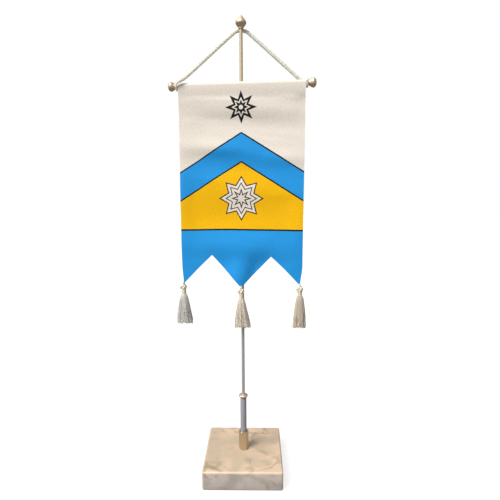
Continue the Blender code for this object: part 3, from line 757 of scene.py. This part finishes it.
# %% Skirt: the rule that bends every thread
SUMS = (
    ("opened", "POWER", "down", "Flare"),
    ("place in bundle", "ADD", "own", 0.5), ("share of bundle", "DIVIDE", "place in bundle", "Threads"),
    ("inwards", "SQRT", "share of bundle"),
    ("clump angle", "MULTIPLY", "own", GOLDEN_ANGLE * 9), ("clump", "SINE", "clump angle"),
    ("drawn in", "MULTIPLY", "clump", 0.1), ("root angle", "MULTIPLY", "own", GOLDEN_ANGLE),
    ("clumped angle", "MULTIPLY_ADD", "drawn in", "down", "root angle"),
    ("angle", "MULTIPLY_ADD", "swerve", "down", "clumped angle"),
    ("cosine", "COSINE", "angle"), ("sine", "SINE", "angle"),
    ("strays", "GREATER_THAN", "odd one", 0.93), ("stray", "MULTIPLY_ADD", "strays", 0.10, "spread"),
    ("widest", "MULTIPLY", "Foot Radius", "stray"), ("filling", "POWER", "inwards", 0.8),
    ("foot", "MULTIPLY", "widest", "filling"), ("root", "MULTIPLY", "Root Radius", "inwards"),
    ("way out", "SUBTRACT", "foot", "root"), ("reach", "MULTIPLY_ADD", "way out", "opened", "root"),
    ("sway", "MULTIPLY", "down", 2.4 * MM),
    ("off across", "SUBTRACT", "waver across", 0.5), ("sway across", "MULTIPLY", "off across", "sway"),
    ("off back", "SUBTRACT", "waver back", 0.5), ("sway back", "MULTIPLY", "off back", "sway"),
    ("down twice", "MULTIPLY", "down", "down"), ("leaning", "MULTIPLY", "Lean", "down twice"),
    ("swayed", "MULTIPLY_ADD", "reach", "cosine", "sway across"), ("x", "ADD", "swayed", "leaning"),
    ("less deep", "SUBTRACT", "Flatness", 1.0), ("flat", "MULTIPLY_ADD", "less deep", "down", 1.0),
    ("deep", "MULTIPLY", "reach", "sine"), ("y", "MULTIPLY_ADD", "deep", "flat", "sway back"),
    ("sideways", "ABSOLUTE", "cosine"), ("outer side", "MULTIPLY", "sideways", "inwards"),
    ("uneven", "MULTIPLY_ADD", "outer side", 0.045, "own length"),
    ("ends at", "MULTIPLY", "Length", "uneven"),
    ("hangs", "SUBTRACT", "ends at", "Root Depth"), ("drop", "MULTIPLY_ADD", "hangs", "down", "Root Depth"),
    ("z", "MULTIPLY", "drop", -1.0),
)
found.update((socket.name, socket) for socket in given if socket.name)
for result, operation, *terms in SUMS:
    inputs = {number: found.get(term, term) for number, term in enumerate(terms)}
    found[result] = add(skirt_group, "ShaderNodeMath", inputs, operation=operation)
print("sums for each thread:", len(SUMS))

# %% Skirt: the threads are bent and get their thickness
bent = add(skirt_group, "ShaderNodeCombineXYZ", {"X": found["x"], "Y": found["y"], "Z": found["z"]})
threads = add(skirt_group, "GeometryNodeSetPosition", {"Geometry": threads, "Position": bent})
for label in ("tone", "down"):
    stored = {"Geometry": threads, "Name": label, "Value": found[label]}
    threads = add(skirt_group, "GeometryNodeStoreNamedAttribute", stored)
four_sides = {"Resolution": 4, "Radius": given["Thread Radius"]}
section = add(skirt_group, "GeometryNodeCurvePrimitiveCircle", four_sides)
swept = {"Curve": threads, "Profile Curve": section, "Fill Caps": True}
end_tree(skirt_group, add(skirt_group, "GeometryNodeCurveToMesh", swept), given["Material"])

# %% [markdown]
# Finish of the yarn: undyed viscose threads. The photograph shows three tones: greyish at the left, cream
# in the middle and tan at the right. Each thread has its own tone from the random number that the skirt
# stored on it, and the roots are a little darker where light hardly gets in.

# %% Material: undyed yarn
FIBRE_STRETCH = (2200.0, 2200.0, 160.0)  # noise cells in a metre: fine across the thread, long down it
TONE_SPAN = 0.42
FIBRE_SPAN = 0.26


def undyed_yarn(name, light, dark):
    """Threads between two tones, by their own tone, by their fibres and by how far down they are."""
    material = new_material(name)
    tree = material.node_tree
    tone = add(tree, "ShaderNodeAttribute", out="Fac", attribute_name="tone")
    low = add(tree, "ShaderNodeAttribute", out="Fac", attribute_name="down")
    here = add(tree, "ShaderNodeTexCoord", out="Object")
    stretched = add(tree, "ShaderNodeVectorMath", {0: here, 1: FIBRE_STRETCH}, operation="MULTIPLY")
    fibre = add(tree, "ShaderNodeTexNoise", {"Vector": stretched, "Scale": 1.0, "Detail": 2.0})
    lit = add(tree, "ShaderNodeMapRange", {"Value": low, "To Min": 0.3, "To Max": 0.6})
    lit = add(tree, "ShaderNodeMath", {0: tone, 1: TONE_SPAN, 2: lit}, operation="MULTIPLY_ADD")
    lit = add(tree, "ShaderNodeMath", {0: fibre, 1: FIBRE_SPAN, 2: lit}, operation="MULTIPLY_ADD")
    lit = add(tree, "ShaderNodeMath", {0: lit, 1: 0.16}, operation="SUBTRACT", use_clamp=True)
    color = add(tree, "ShaderNodeMixRGB", {"Fac": lit, "Color1": linear(dark), "Color2": linear(light)})
    bump = add(tree, "ShaderNodeBump", {"Height": fibre, "Strength": 0.4, "Distance": 0.05 * MM})
    shader = add(
        tree, "ShaderNodeBsdfPrincipled",
        {"Base Color": color, "Roughness": 0.8, "Normal": bump, "Specular IOR Level": 0.2,
         "Sheen Weight": 0.1, "Sheen Roughness": 0.4, "Subsurface Weight": 0.25,
         "Subsurface Radius": (1.0, 0.95, 0.88), "Subsurface Scale": 1.0 * MM},
    )
    add(tree, "ShaderNodeOutputMaterial", {"Surface": shader})
    return material


grey_yarn = undyed_yarn("undyed yarn, greyed", "e8e8e4", "b2b1ad")
cream_yarn = undyed_yarn("undyed yarn", "efe5d9", "b9ae9f")
tan_yarn = undyed_yarn("undyed yarn, darkened", "dfd3c4", "aca193")
knot_yarn = twisted_yarn("cream knotting yarn", "f1e8d8", "a89e8b", 0.4 * MM, fibres=6, pitch=2.2 * MM)
print("yarn finish:", len(grey_yarn.node_tree.nodes), "nodes")

# %% [markdown]
# The knot, loop and wrapping are tubes along computed paths. One helper sweeps a ring of points along a
# path and stores the same two attributes as the hanging cord has, so the twisted finish fits them too.

# %% Tubes for knot, loop and wrapping
def tube_mesh(paths, material, name, sides=8):
    """One mesh of closed tubes. Each path is (points, radius, whether it joins up with itself)."""
    points, faces, around, along = [], [], [], []
    for path, radius, closed in paths:
        start_index = len(points)
        side = Vector((0.31, 0.17, 0.93))
        travelled = 0
        for number, centre in enumerate(path):
            before = path[number - 1] if number or closed else centre
            after = path[(number + 1) % len(path)] if closed or number < len(path) - 1 else centre
            direction = (after - before).normalized()
            side = (side - direction * side.dot(direction)).normalized()
            other = direction.cross(side)
            travelled += (centre - path[max(number - 1, 0)]).length
            for step in range(sides):
                angle = math.tau * step / sides
                points.append(centre + (side * math.cos(angle) + other * math.sin(angle)) * radius)
                around.append(step / sides)
                along.append(travelled)
        rings = len(path)
        for number in range(rings if closed else rings - 1):
            near, far = start_index + number * sides, start_index + (number + 1) % rings * sides
            for step in range(sides):
                nxt = (step + 1) % sides
                faces.append([near + step, near + nxt, far + nxt, far + step])
        if not closed:
            faces.append([start_index + step for step in reversed(range(sides))])
            faces.append([start_index + (rings - 1) * sides + step for step in range(sides)])
    piece = mesh_object(name, points, faces, material)
    for label, values in (("around", around), ("along", along)):
        piece.data.attributes.new(label, "FLOAT", "POINT").data.foreach_set("value", values)
    piece.data.shade_smooth()
    return piece


# %% Knot, loop and neck of a tassel
def torus_knot(low, ring_radius, bulge, half_height, laps=2, lobes=5, steps=120):
    """A closed path that winds round an upright axis and in and out through itself."""
    path = []
    for step in range(steps):
        t = math.tau * step / steps
        reach = ring_radius + bulge * math.cos(lobes * t)
        height = low + half_height * math.sin(lobes * t)
        path.append(Vector((reach * math.cos(laps * t), reach * math.sin(laps * t), height)))
    return [point * MM for point in path]


def coil(top, bottom, radius, laps, steps=26):
    """A close winding round the neck, from top to bottom."""
    path = []
    for step in range(laps * steps + 1):
        angle = math.tau * step / steps
        height = top + (bottom - top) * step / (laps * steps)
        path.append(Vector((radius * math.cos(angle), radius * math.sin(angle), height)) * MM)
    return path


def bow_loop(start, away, width, drop, steps=20):
    """A small loop of yarn that leaves the knot sideways and comes back."""
    path = []
    for step in range(steps + 1):
        t = math.pi * step / steps
        height = width * math.cos(t) - drop * math.sin(t)
        path.append((start + Vector((math.sin(t) * away, -0.25 * math.sin(t), height))) * MM)
    return path


def tip_loop(side, height=2.2):
    """Yarn that goes up one side of the cloth's tip, over it and down the other side."""
    points = [(side, 1.15, -1.6), (side * 0.8, 1.3, 0.2), (side * 0.4, 0.95, height), (0, 0, height + 0.55)]
    points += [(side * 0.4, -0.95, height), (side * 0.8, -1.3, 0.2), (side, -1.15, -1.6)]
    return smooth_curve([Vector(point) * MM for point in points], 5)


# %% [markdown]
# Under the windings lies a small round core, so that no gap shows through them. It is a turned shape: an
# outline of radii and heights is carried round an axis. The same helper turns the brass and the rods
# further down, and for the brass it also keeps a UV map with each face's place round and along the axis.

# %% Turned shapes and the core of a tassel
CORE_OUTLINE = (
    (0.0, -0.9), (1.5, -1.3), (2.3, -2.4), (2.7, -4.2), (2.4, -6.0), (2.2, -7.2), (2.4, -8.2), (2.4, -12.6),
    (2.6, -13.6), (0.0, -13.9),
)
CORE_SIDES = 24


def lathe(name, outline, material, sides=48, mapped=False):
    """A closed turned solid from (radius, height) in mm, that go from the axis back to the axis."""
    points = []
    for radius, height in outline:
        for step in range(sides):
            angle = math.tau * step / sides
            points.append(Vector((radius * math.cos(angle), radius * math.sin(angle), height)) * MM)
    faces, places = [], []
    for row in range(len(outline) - 1):
        high, low = outline[row][1], outline[row + 1][1]
        near, far = row * sides, (row + 1) * sides
        for step in range(sides):
            nxt = (step + 1) % sides
            faces.append([near + step, far + step, far + nxt, near + nxt])
            start, end = step / sides, (step + 1) / sides
            places += [(start, high), (start, low), (end, low), (end, high)]
    piece = mesh_object(name, points, faces, material)
    if mapped:
        layer = piece.data.uv_layers.new(name="turning")
        for loop, place in zip(piece.data.loops, places):
            layer.data[loop.index].uv = place
    outwards(piece)
    return piece


# %% [markdown]
# Each tassel hangs from a point of the cloth, so its place is worked out from the folds there. The three
# differ in length, width, lean and tone, as tassels tied by hand do, and a seed gives each its own threads.

# %% Tassels are built and placed
KNOT_YARN = 0.72 * MM
THIN_YARN = 0.6 * MM
LOOP_YARN = 0.5 * MM
WRAPPING = 0.36 * MM
# side, across, depth, length, foot radius, flatness, lean, flare, seed, yarn
TASSELS = (
    ("left", -74.7, 238.7, 49.6, 10.4, 0.85, 0.4, 0.66, 11, grey_yarn),
    ("centre", -0.9, 241.8, 48.8, 10.3, 0.74, 1.5, 0.7, 22, cream_yarn),
    ("right", 71.4, 238.7, 51.3, 8.2, 0.9, -0.4, 0.5, 33, tan_yarn),
)
for side, across, depth, length, foot_radius, flatness, lean, flare, seed, yarn in TASSELS:
    forward_by = LAYER_HALF_PITCH + fold_height(across * MM, depth * MM, (FOLDS, CREASES))
    to_tip = hang @ Matrix.Translation((across * MM, -forward_by, -depth * MM))
    name = "tassel_" + side
    windings = [
        (torus_knot(-4.3, 2.5, 0.66, 2.1), KNOT_YARN, True),
        (torus_knot(-1.5, 1.25, 0.3, 0.75, laps=1, lobes=3, steps=60), THIN_YARN, True),
        (coil(-7.3, -12.7, 2.52, 8), WRAPPING, False),
        (bow_loop(Vector((-2.2, -1.6, -4.8)), -2.5, 1.4, 0.6), THIN_YARN, False),
        (tip_loop(-0.65), LOOP_YARN, False),
        (tip_loop(0.65), LOOP_YARN, False),
    ]
    knot = tube_mesh(windings, knot_yarn, name + "_knot", sides=10)
    core = lathe(name + "_core", CORE_OUTLINE, knot_yarn, CORE_SIDES)
    soften(core, 60)
    skirt_piece = grow(
        mesh_object(name + "_skirt", [], []), skirt_group, yarn,
        Length=length * MM, Foot_Radius=foot_radius * MM, Flatness=flatness, Lean=lean * MM, Flare=flare,
        Seed=seed,
    )
    for piece in (knot, core, skirt_piece):
        piece.data.transform(to_tip)
        settle(piece, "yarn")
    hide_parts(name)
    print(name, "faces:", [len(piece.data.polygons) for piece in (knot, core, skirt_piece)])

# %% [markdown]
# ## The cloth is placed
# Cloth keeps its area when it is hung. The sheet rides on the one body and stands for the imported banner.

# %% The cloth is placed
settle(cloth, "cloth", "banner")

# %% [markdown]
# ## Turned brass
# Finial, collar and bar ends were turned on a lathe from brass rod. An outline of a few points is made
# smooth and turned about an axis. The piece keeps a UV map with its place round and along the axis, on
# which the finish draws the fine rings that the tool left, and an attribute that says which faces look
# down, which the finish paints brown as painted shade.

# %% Turned pieces
def turned_piece(name, outline, straight, material, move, sides=72, steps=7):
    """A turned piece: a smoothed outer outline and a straight rest, as (radius, height) in mm."""
    smooth = smooth_curve([Vector(point) for point in outline], steps)
    profile = [(0, smooth[0].y), *[tuple(point) for point in smooth], *straight]
    piece = lathe(name, profile, material, sides, mapped=True)
    piece.data.transform(move)
    soften(piece, 35)
    # which faces look down, for the brass finish's painted shade
    shade = [fade(-vertex.normal.z, 0.05, 0.55) for vertex in piece.data.vertices]
    piece.data.attributes.new("down_for_painted_shade", "FLOAT", "POINT").data.foreach_set("value", shade)
    return piece


# %% Material: turned and lacquered brass
RING_PITCH = 0.4  # mm between tool marks, a few times the real ones so that they show


def turned_brass(name, bright, brown, roughness):
    """Bright brass with brown painted shade where it looks down, with fine rings and specks."""
    material = new_material(name)
    tree = material.node_tree
    down = add(tree, "ShaderNodeAttribute", out="Fac", attribute_name="down_for_painted_shade")
    turning = add(tree, "ShaderNodeUVMap", uv_map="turning")
    height = add(tree, "ShaderNodeSeparateXYZ", {0: turning}, out="Y")
    here = add(tree, "ShaderNodeTexCoord", out="Object")
    specks = {"Vector": here, "Scale": 420.0, "Detail": 4.0, "Roughness": 0.6}
    patchy = add(tree, "ShaderNodeTexNoise", specks)
    speck_range = {"Value": patchy, "From Min": 0.5, "From Max": 0.8, "To Max": 0.14}
    spots = add(tree, "ShaderNodeMapRange", speck_range)
    # brown painted shade on faces that look down, with random specks
    shade_and_specks = {0: down, 1: 0.85, 2: spots}
    painted_shade_and_specks = add(tree, "ShaderNodeMath", shade_and_specks, operation="MULTIPLY_ADD", use_clamp=True)
    tones = {"Fac": painted_shade_and_specks, "Color1": linear(bright), "Color2": linear(brown)}
    color = add(tree, "ShaderNodeMixRGB", tones)
    rings = add(tree, "ShaderNodeMath", {0: height, 1: math.tau / RING_PITCH}, operation="MULTIPLY")
    rings = add(tree, "ShaderNodeMath", {0: rings}, operation="SINE")
    relief = add(tree, "ShaderNodeMath", {0: rings, 1: 0.35, 2: patchy}, operation="MULTIPLY_ADD")
    bump = add(tree, "ShaderNodeBump", {"Height": relief, "Strength": 0.25, "Distance": 0.03 * MM})
    rough_range = {"Value": patchy, "To Min": roughness - 0.06, "To Max": roughness + 0.1}
    rough = add(tree, "ShaderNodeMapRange", rough_range)
    shader = add(
        tree, "ShaderNodeBsdfPrincipled",
        {"Base Color": color, "Metallic": 1.0, "Roughness": rough, "Normal": bump},
    )
    add(tree, "ShaderNodeOutputMaterial", {"Surface": shader})
    return material


brass = turned_brass("turned lacquered brass", "e6d3bc", "b89e83", 0.5)
print("brass finish:", len(brass.node_tree.nodes), "nodes")

# %% Finial, collar and bar ends
FINIAL_OUTLINE = (
    (0.5, 15.2), (2.2, 12.9), (4.2, 10.5), (6.0, 7.8), (6.2, 5.6), (4.5, 2.9), (3.2, 1.2), (3.0, 0.0),
)
KNOB_OUTLINE = ((1.5, 8.9), (3.9, 8.1), (5.4, 6.1), (5.2, 4.0), (3.8, 1.8), (3.3, 0.0))
COLLAR_OUTLINE = ((2.8, 4.4), (4.9, 3.8), (5.9, 2.7), (5.3, 1.2), (4.0, 0.0))
FINIAL_BORE = ((2.3, 0.0), (2.3, 5.9), (0.0, 5.9))
COLLAR_BORE = ((2.2, 0.0), (2.2, 1.0), (0.0, 1.0))
KNOB_BORE = ((2.8, 0.0), (2.8, 5.4), (0.0, 5.4))
FINIAL_FOOT = 552.4 * MM
COLLAR_FOOT = 97.3 * MM
KNOB_START = 78.3 * MM
to_pole_top = Matrix.Translation((0, 0, FINIAL_FOOT))
finial = turned_piece("finial_turned", FINIAL_OUTLINE, FINIAL_BORE, brass, to_pole_top)
settle(finial, "brass", "finial")
to_tube_top = Matrix.Translation((0, 0, COLLAR_FOOT))
collar = turned_piece("collar_turned", COLLAR_OUTLINE, COLLAR_BORE, brass, to_tube_top)
settle(collar, "brass", "collar")
for side, sign in (("left", -1), ("right", 1)):
    along = Matrix.Rotation(sign * math.pi / 2, 4, "Y")
    to_end = hang @ Matrix.Translation((sign * KNOB_START, 0, 0)) @ along
    knob = turned_piece("knob_" + side + "_turned", KNOB_OUTLINE, KNOB_BORE, brass, to_end)
    settle(knob, "brass", "knob_" + side)
print("finial faces:", len(finial.data.polygons), "top:", round(max(v.co.z for v in finial.data.vertices), 4))

# %% [markdown]
# ## Pole, bar and tube
# The pole and the bar are drawn brass rods: pulled through a die, which leaves fine lines along them. The
# pole is painted pale gold at its top and grey further down, as a painted reflection of warm light above
# and greyer surroundings below. The lower tube has a satin grey paint, painted darker towards its foot as
# painted shade. The lines are a noise that is stretched a hundred times along the rod.

# %% Material: drawn rod and satin grey paint
def drawn_metal(name, warm, cool, stretch, change=(0.0, 0.1), roughness=0.34, metallic=1.0):
    """Drawn metal with lines along it. It goes from cool to warm between the two heights of change, as
    painted reflection and shade.
    """
    material = new_material(name)
    tree = material.node_tree
    here = add(tree, "ShaderNodeTexCoord", out="Object")
    height = add(tree, "ShaderNodeSeparateXYZ", {0: here}, out="Z")
    stretched = add(tree, "ShaderNodeVectorMath", {0: here, 1: stretch}, operation="MULTIPLY")
    lines = add(tree, "ShaderNodeTexNoise", {"Vector": stretched, "Scale": 1.0, "Detail": 3.0})
    # the change from cool to warm with height is painted reflection on the pole and painted shade on the tube
    heights = {"Value": height, "From Min": change[0], "From Max": change[1]}
    painted_light_share = add(tree, "ShaderNodeMapRange", heights)
    tones = {"Fac": painted_light_share, "Color1": linear(cool), "Color2": linear(warm)}
    color = add(tree, "ShaderNodeMixRGB", tones)
    shades = {"Value": lines, "From Min": 0.3, "From Max": 0.7, "To Min": 0.93, "To Max": 1.03}
    shade = add(tree, "ShaderNodeMapRange", shades)
    color = add(tree, "ShaderNodeVectorMath", {0: color, "Scale": shade}, operation="SCALE")
    bump = add(tree, "ShaderNodeBump", {"Height": lines, "Strength": 0.15, "Distance": 0.03 * MM})
    shader = add(
        tree, "ShaderNodeBsdfPrincipled",
        {"Base Color": color, "Metallic": metallic, "Roughness": roughness, "Normal": bump},
    )
    add(tree, "ShaderNodeOutputMaterial", {"Surface": shader})
    return material


pole_lines = (2600.0, 2600.0, 24.0)
bar_lines = (24.0, 2600.0, 2600.0)
paint_lines = (900.0, 900.0, 60.0)
# the pole's gold top and grey lower part are a painted reflection
rod_metal = drawn_metal("drawn pale brass", "dbc6a6", "b6b5b9", pole_lines, (0.19, 0.26), 0.42, 0.45)
bar_metal = drawn_metal("drawn brass bar", "d6b78c", "d6b78c", bar_lines)
# the tube is painted darker towards its foot as painted shade
tube_paint = drawn_metal("satin grey paint", "a0a0ab", "90919e", paint_lines, (0.03, 0.1), 0.6, 0.1)
print("drawn finish:", len(rod_metal.node_tree.nodes), "nodes")

# %% Pole, tube and bar, with eased ends
POLE_OUTLINE = ((0, 558.0), (1.6, 558.0), (2.0, 557.6), (2.0, 37.9), (0, 37.9))
TUBE_OUTLINE = (
    (0, 37.6), (2.3, 37.6), (2.3, 96.8), (2.5, 97.0), (3.8, 97.0), (4.0, 96.8), (4.0, 31.8), (3.8, 31.6),
    (0, 31.6),
)
BAR_OUTLINE = ((0, 83.4), (2.2, 83.4), (2.5, 83.1), (2.5, -83.1), (2.2, -83.4), (0, -83.4))
upright = Matrix.Identity(4)
along_bar = hang @ Matrix.Rotation(math.pi / 2, 4, "Y")
for name, outline, metal, move, slot, node in (
    ("rod_drawn", POLE_OUTLINE, rod_metal, upright, "rod_metal", "rod"),
    ("tube_satin", TUBE_OUTLINE, tube_paint, upright, "grey_metal", "tube"),
    ("crossbar_drawn", BAR_OUTLINE, bar_metal, along_bar, "rod_metal", "crossbar"),
):
    bar = lathe(name, outline, metal)
    bar.data.transform(move)
    soften(bar, 35)
    settle(bar, slot, node)
    print(name, "faces:", len(bar.data.polygons))

# %% [markdown]
# ## Socket
# The socket is a length of hexagonal brass bar, chamfered at both ends and bored for the tube. The packed
# solid already has its true shape, so it stays and gets a finish: milled flats, a little darker than the
# turned brass.

# %% Socket finish
socket_lines = (1500.0, 1500.0, 40.0)
socket_brass = drawn_metal("hexagonal drawn brass", "d8c6ab", "d8c6ab", socket_lines, roughness=0.38)
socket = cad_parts["socket"]
socket.data.materials.clear()
socket.data.materials.append(socket_brass)
print("socket faces:", len(socket.data.polygons))

# %% [markdown]
# ## Marble foot
# The foot is a sawn and honed block of cream marble with eased edges. Marble has soft clouds of warm and
# cool tone, darker patches, and soft veins that wander and fade. Clouds and patches are broad noises. The
# veins are the places where another, bent noise is close to its middle value, and one more lets them come
# and go. The top is polished and painted warm as painted light, the sawn sides are painted greyer as
# painted shade, and the eased edges are painted lighter as a painted highlight.

# %% Material: honed cream marble
# the top's tones hold painted light and the sawn sides' tones hold painted shade
LIT_TOP_TONES = ("bdac96", "d6bda6")
SHADED_SIDE_TONES = ("a8a19e", "c5bcb6")
SHADED_SIDES_BELOW = 22.2 * MM
LIT_TOP_ABOVE = 23.6 * MM
PATCH_TONE = "928873"
VEIN_TONE = "857a6b"
EDGE_HIGHLIGHT_TONE = "dccdbb"
VEIN_WIDTH = 0.045  # of the noise's range, on each side of its middle


def honed_marble():
    """Clouded and veined marble, polished and painted warm on top as painted light, greyer on its sawn sides
    as painted shade.
    """
    material = new_material("honed cream marble")
    tree = material.node_tree
    here = add(tree, "ShaderNodeTexCoord", out="Object")
    height = add(tree, "ShaderNodeSeparateXYZ", {0: here}, out="Z")
    noises = []
    for scale, detail, distortion in ((22.0, 4.0, 0.6), (47.0, 3.0, 0.8), (33.0, 2.0, 0.0)):
        settings = {"Vector": here, "Scale": scale, "Detail": detail, "Distortion": distortion}
        noises.append(add(tree, "ShaderNodeTexNoise", settings))
    slanted = add(tree, "ShaderNodeVectorRotate", {"Vector": here, "Angle": 0.7, "Axis": (0.3, 0.2, 1.0)})
    stretch = {0: slanted, 1: (13.0, 24.0, 24.0), 2: (5.0, 2.0, 0.0)}
    drawn = add(tree, "ShaderNodeVectorMath", stretch, operation="MULTIPLY_ADD")
    bent = add(tree, "ShaderNodeTexNoise", {"Vector": drawn, "Scale": 1.0, "Detail": 3.5, "Distortion": 1.1})
    middle = add(tree, "ShaderNodeMath", {0: bent, 1: 0.5}, operation="SUBTRACT")
    away = add(tree, "ShaderNodeMath", {0: middle}, operation="ABSOLUTE")

    eased = []
    for value, low, high, to_low, to_high in (
        (noises[0], 0.38, 0.66, 0.0, 1.0), (height, LIT_TOP_ABOVE, SHADED_SIDES_BELOW, 0.0, 1.0),
        (noises[1], 0.53, 0.76, 0.0, 0.62), (noises[2], 0.44, 0.66, 0.0, 0.55),
        (away, 0.0, VEIN_WIDTH, 1.0, 0.0),
    ):
        ends = {"Value": value, "From Min": low, "From Max": high, "To Min": to_low, "To Max": to_high}
        eased.append(add(tree, "ShaderNodeMapRange", ends, interpolation_type="SMOOTHSTEP"))
    peach, sawn, patches, present, vein = eased
    vein = add(tree, "ShaderNodeMath", {0: vein, 1: present}, operation="MULTIPLY")
    arris = add(tree, "ShaderNodeAttribute", out="Fac", attribute_name="arris")
    # painted highlight: the eased edges are lightened here
    edge_highlight = add(tree, "ShaderNodeMath", {0: arris, 1: 0.6}, operation="MULTIPLY")

    faces = []
    for cool, warm in (LIT_TOP_TONES, SHADED_SIDE_TONES):
        tones = {"Fac": peach, "Color1": linear(cool), "Color2": linear(warm)}
        faces.append(add(tree, "ShaderNodeMixRGB", tones))
    # the sawn sides get painted shade and the top painted light here
    color = add(tree, "ShaderNodeMixRGB", {"Fac": sawn, "Color1": faces[0], "Color2": faces[1]})
    for share, tone in ((patches, PATCH_TONE), (vein, VEIN_TONE), (edge_highlight, EDGE_HIGHLIGHT_TONE)):
        color = add(tree, "ShaderNodeMixRGB", {"Fac": share, "Color1": color, "Color2": linear(tone)})
    grain = add(tree, "ShaderNodeTexNoise", {"Vector": here, "Scale": 1400.0, "Detail": 3.0})
    bump = add(tree, "ShaderNodeBump", {"Height": grain, "Strength": 0.12, "Distance": 0.03 * MM})
    rough = add(tree, "ShaderNodeMapRange", {"Value": grain, "To Min": 0.32, "To Max": 0.46})
    shader = add(
        tree, "ShaderNodeBsdfPrincipled",
        {"Base Color": color, "Roughness": rough, "Normal": bump, "IOR": 1.49, "Subsurface Weight": 0.35,
         "Subsurface Radius": (1.0, 0.8, 0.6), "Subsurface Scale": 5 * MM},
    )
    add(tree, "ShaderNodeOutputMaterial", {"Surface": shader})
    return material


# %% The block
BASE_WIDTH = 100 * MM
BASE_HEIGHT = 25 * MM
BASE_EDGE = 2.8 * MM
MOST_SLANTED = 1 - math.sqrt(0.5)
bm = bmesh.new()
bmesh.ops.create_cube(bm, size=1)
bmesh.ops.scale(bm, verts=bm.verts, vec=(BASE_WIDTH, BASE_WIDTH, BASE_HEIGHT))
bmesh.ops.translate(bm, verts=bm.verts, vec=(0, 0, BASE_HEIGHT / 2))
bmesh.ops.bevel(bm, geom=list(bm.edges), offset=BASE_EDGE, segments=7, profile=0.5, affect="EDGES")
base_mesh = bpy.data.meshes.new("base_marble")
bm.to_mesh(base_mesh)
bm.free()
slants = [(1 - max(abs(part) for part in face.normal)) / MOST_SLANTED for face in base_mesh.polygons]
base_mesh.attributes.new("arris", "FLOAT", "FACE").data.foreach_set("value", slants)
base = bpy.data.objects.new("base_marble", base_mesh)
bpy.context.scene.collection.objects.link(base)
base_mesh.materials.append(honed_marble())
soften(base, 30)
settle(base, "marble", "base")
print("base faces:", len(base_mesh.polygons))

# %% [markdown]
# ## Floor and light
# A plain pale floor and plain soft studio light. The main light is a broad one from the left, in front and
# above, as the soft shadow of the socket on the marble shows. The rest comes from a pale surrounding that
# is brighter at the upper left and dimmer at the lower right, so that polished metal has something to
# mirror.

# %% Floor
FLOOR_REACH = 6
corners = [(x * FLOOR_REACH, y * FLOOR_REACH, 0) for x, y in ((-1, -1), (1, -1), (1, 1), (-1, 1))]
floor = mesh_object("floor", corners, [[0, 1, 2, 3]])
floor_paint = new_material("matt white floor")
in_view = add(floor_paint.node_tree, "ShaderNodeLightPath", out="Is Camera Ray")
lifted = add(floor_paint.node_tree, "ShaderNodeMath", {0: in_view, 1: 0.8}, operation="MULTIPLY")
white = add(
    floor_paint.node_tree, "ShaderNodeBsdfPrincipled",
    {"Base Color": linear("8b8a88"), "Roughness": 0.9, "Emission Color": linear("fffefc"),
     "Emission Strength": lifted},
)
add(floor_paint.node_tree, "ShaderNodeOutputMaterial", {"Surface": white})
floor.data.materials.append(floor_paint)
print("floor reaches", FLOOR_REACH, "m each way")

# %% Light
key = bpy.data.objects.new("key", bpy.data.lights.new("key", "SUN"))
key.data.energy = 3.9
key.data.angle = math.radians(34)
key.data.color = (1.0, 0.95, 0.87)
key.rotation_euler = Vector((-1.0, -1.0, 1.7)).to_track_quat("Z", "Y").to_euler()
bpy.context.scene.collection.objects.link(key)

world = bpy.data.worlds.new("studio")
world.use_nodes = True
bpy.context.scene.world = world
sky = world.node_tree
sky.nodes.clear()
direction = add(sky, "ShaderNodeTexCoord", out="Generated")
to_upper_left = Vector((-0.5, -0.35, 0.79))
facing = {0: direction, 1: to_upper_left}
towards = add(sky, "ShaderNodeVectorMath", facing, out="Value", operation="DOT_PRODUCT")
strengths = {"Value": towards, "From Min": -0.6, "From Max": 0.9, "To Min": 0.20, "To Max": 0.55}
brightness = add(sky, "ShaderNodeMapRange", strengths)
around_it = add(sky, "ShaderNodeBackground", {"Color": linear("f4f6fa"), "Strength": brightness})
backdrop = add(sky, "ShaderNodeBackground", {"Color": (1, 1, 1, 1), "Strength": 1.0})
seen = add(sky, "ShaderNodeLightPath", out="Is Camera Ray")
light = add(sky, "ShaderNodeMixShader", {0: seen, 1: around_it, 2: backdrop})
add(sky, "ShaderNodeOutputWorld", {"Surface": light})
bpy.context.scene.view_settings.view_transform = "Standard"
print("key light:", round(key.data.energy, 2), "sky tree:", len(sky.nodes), "nodes")
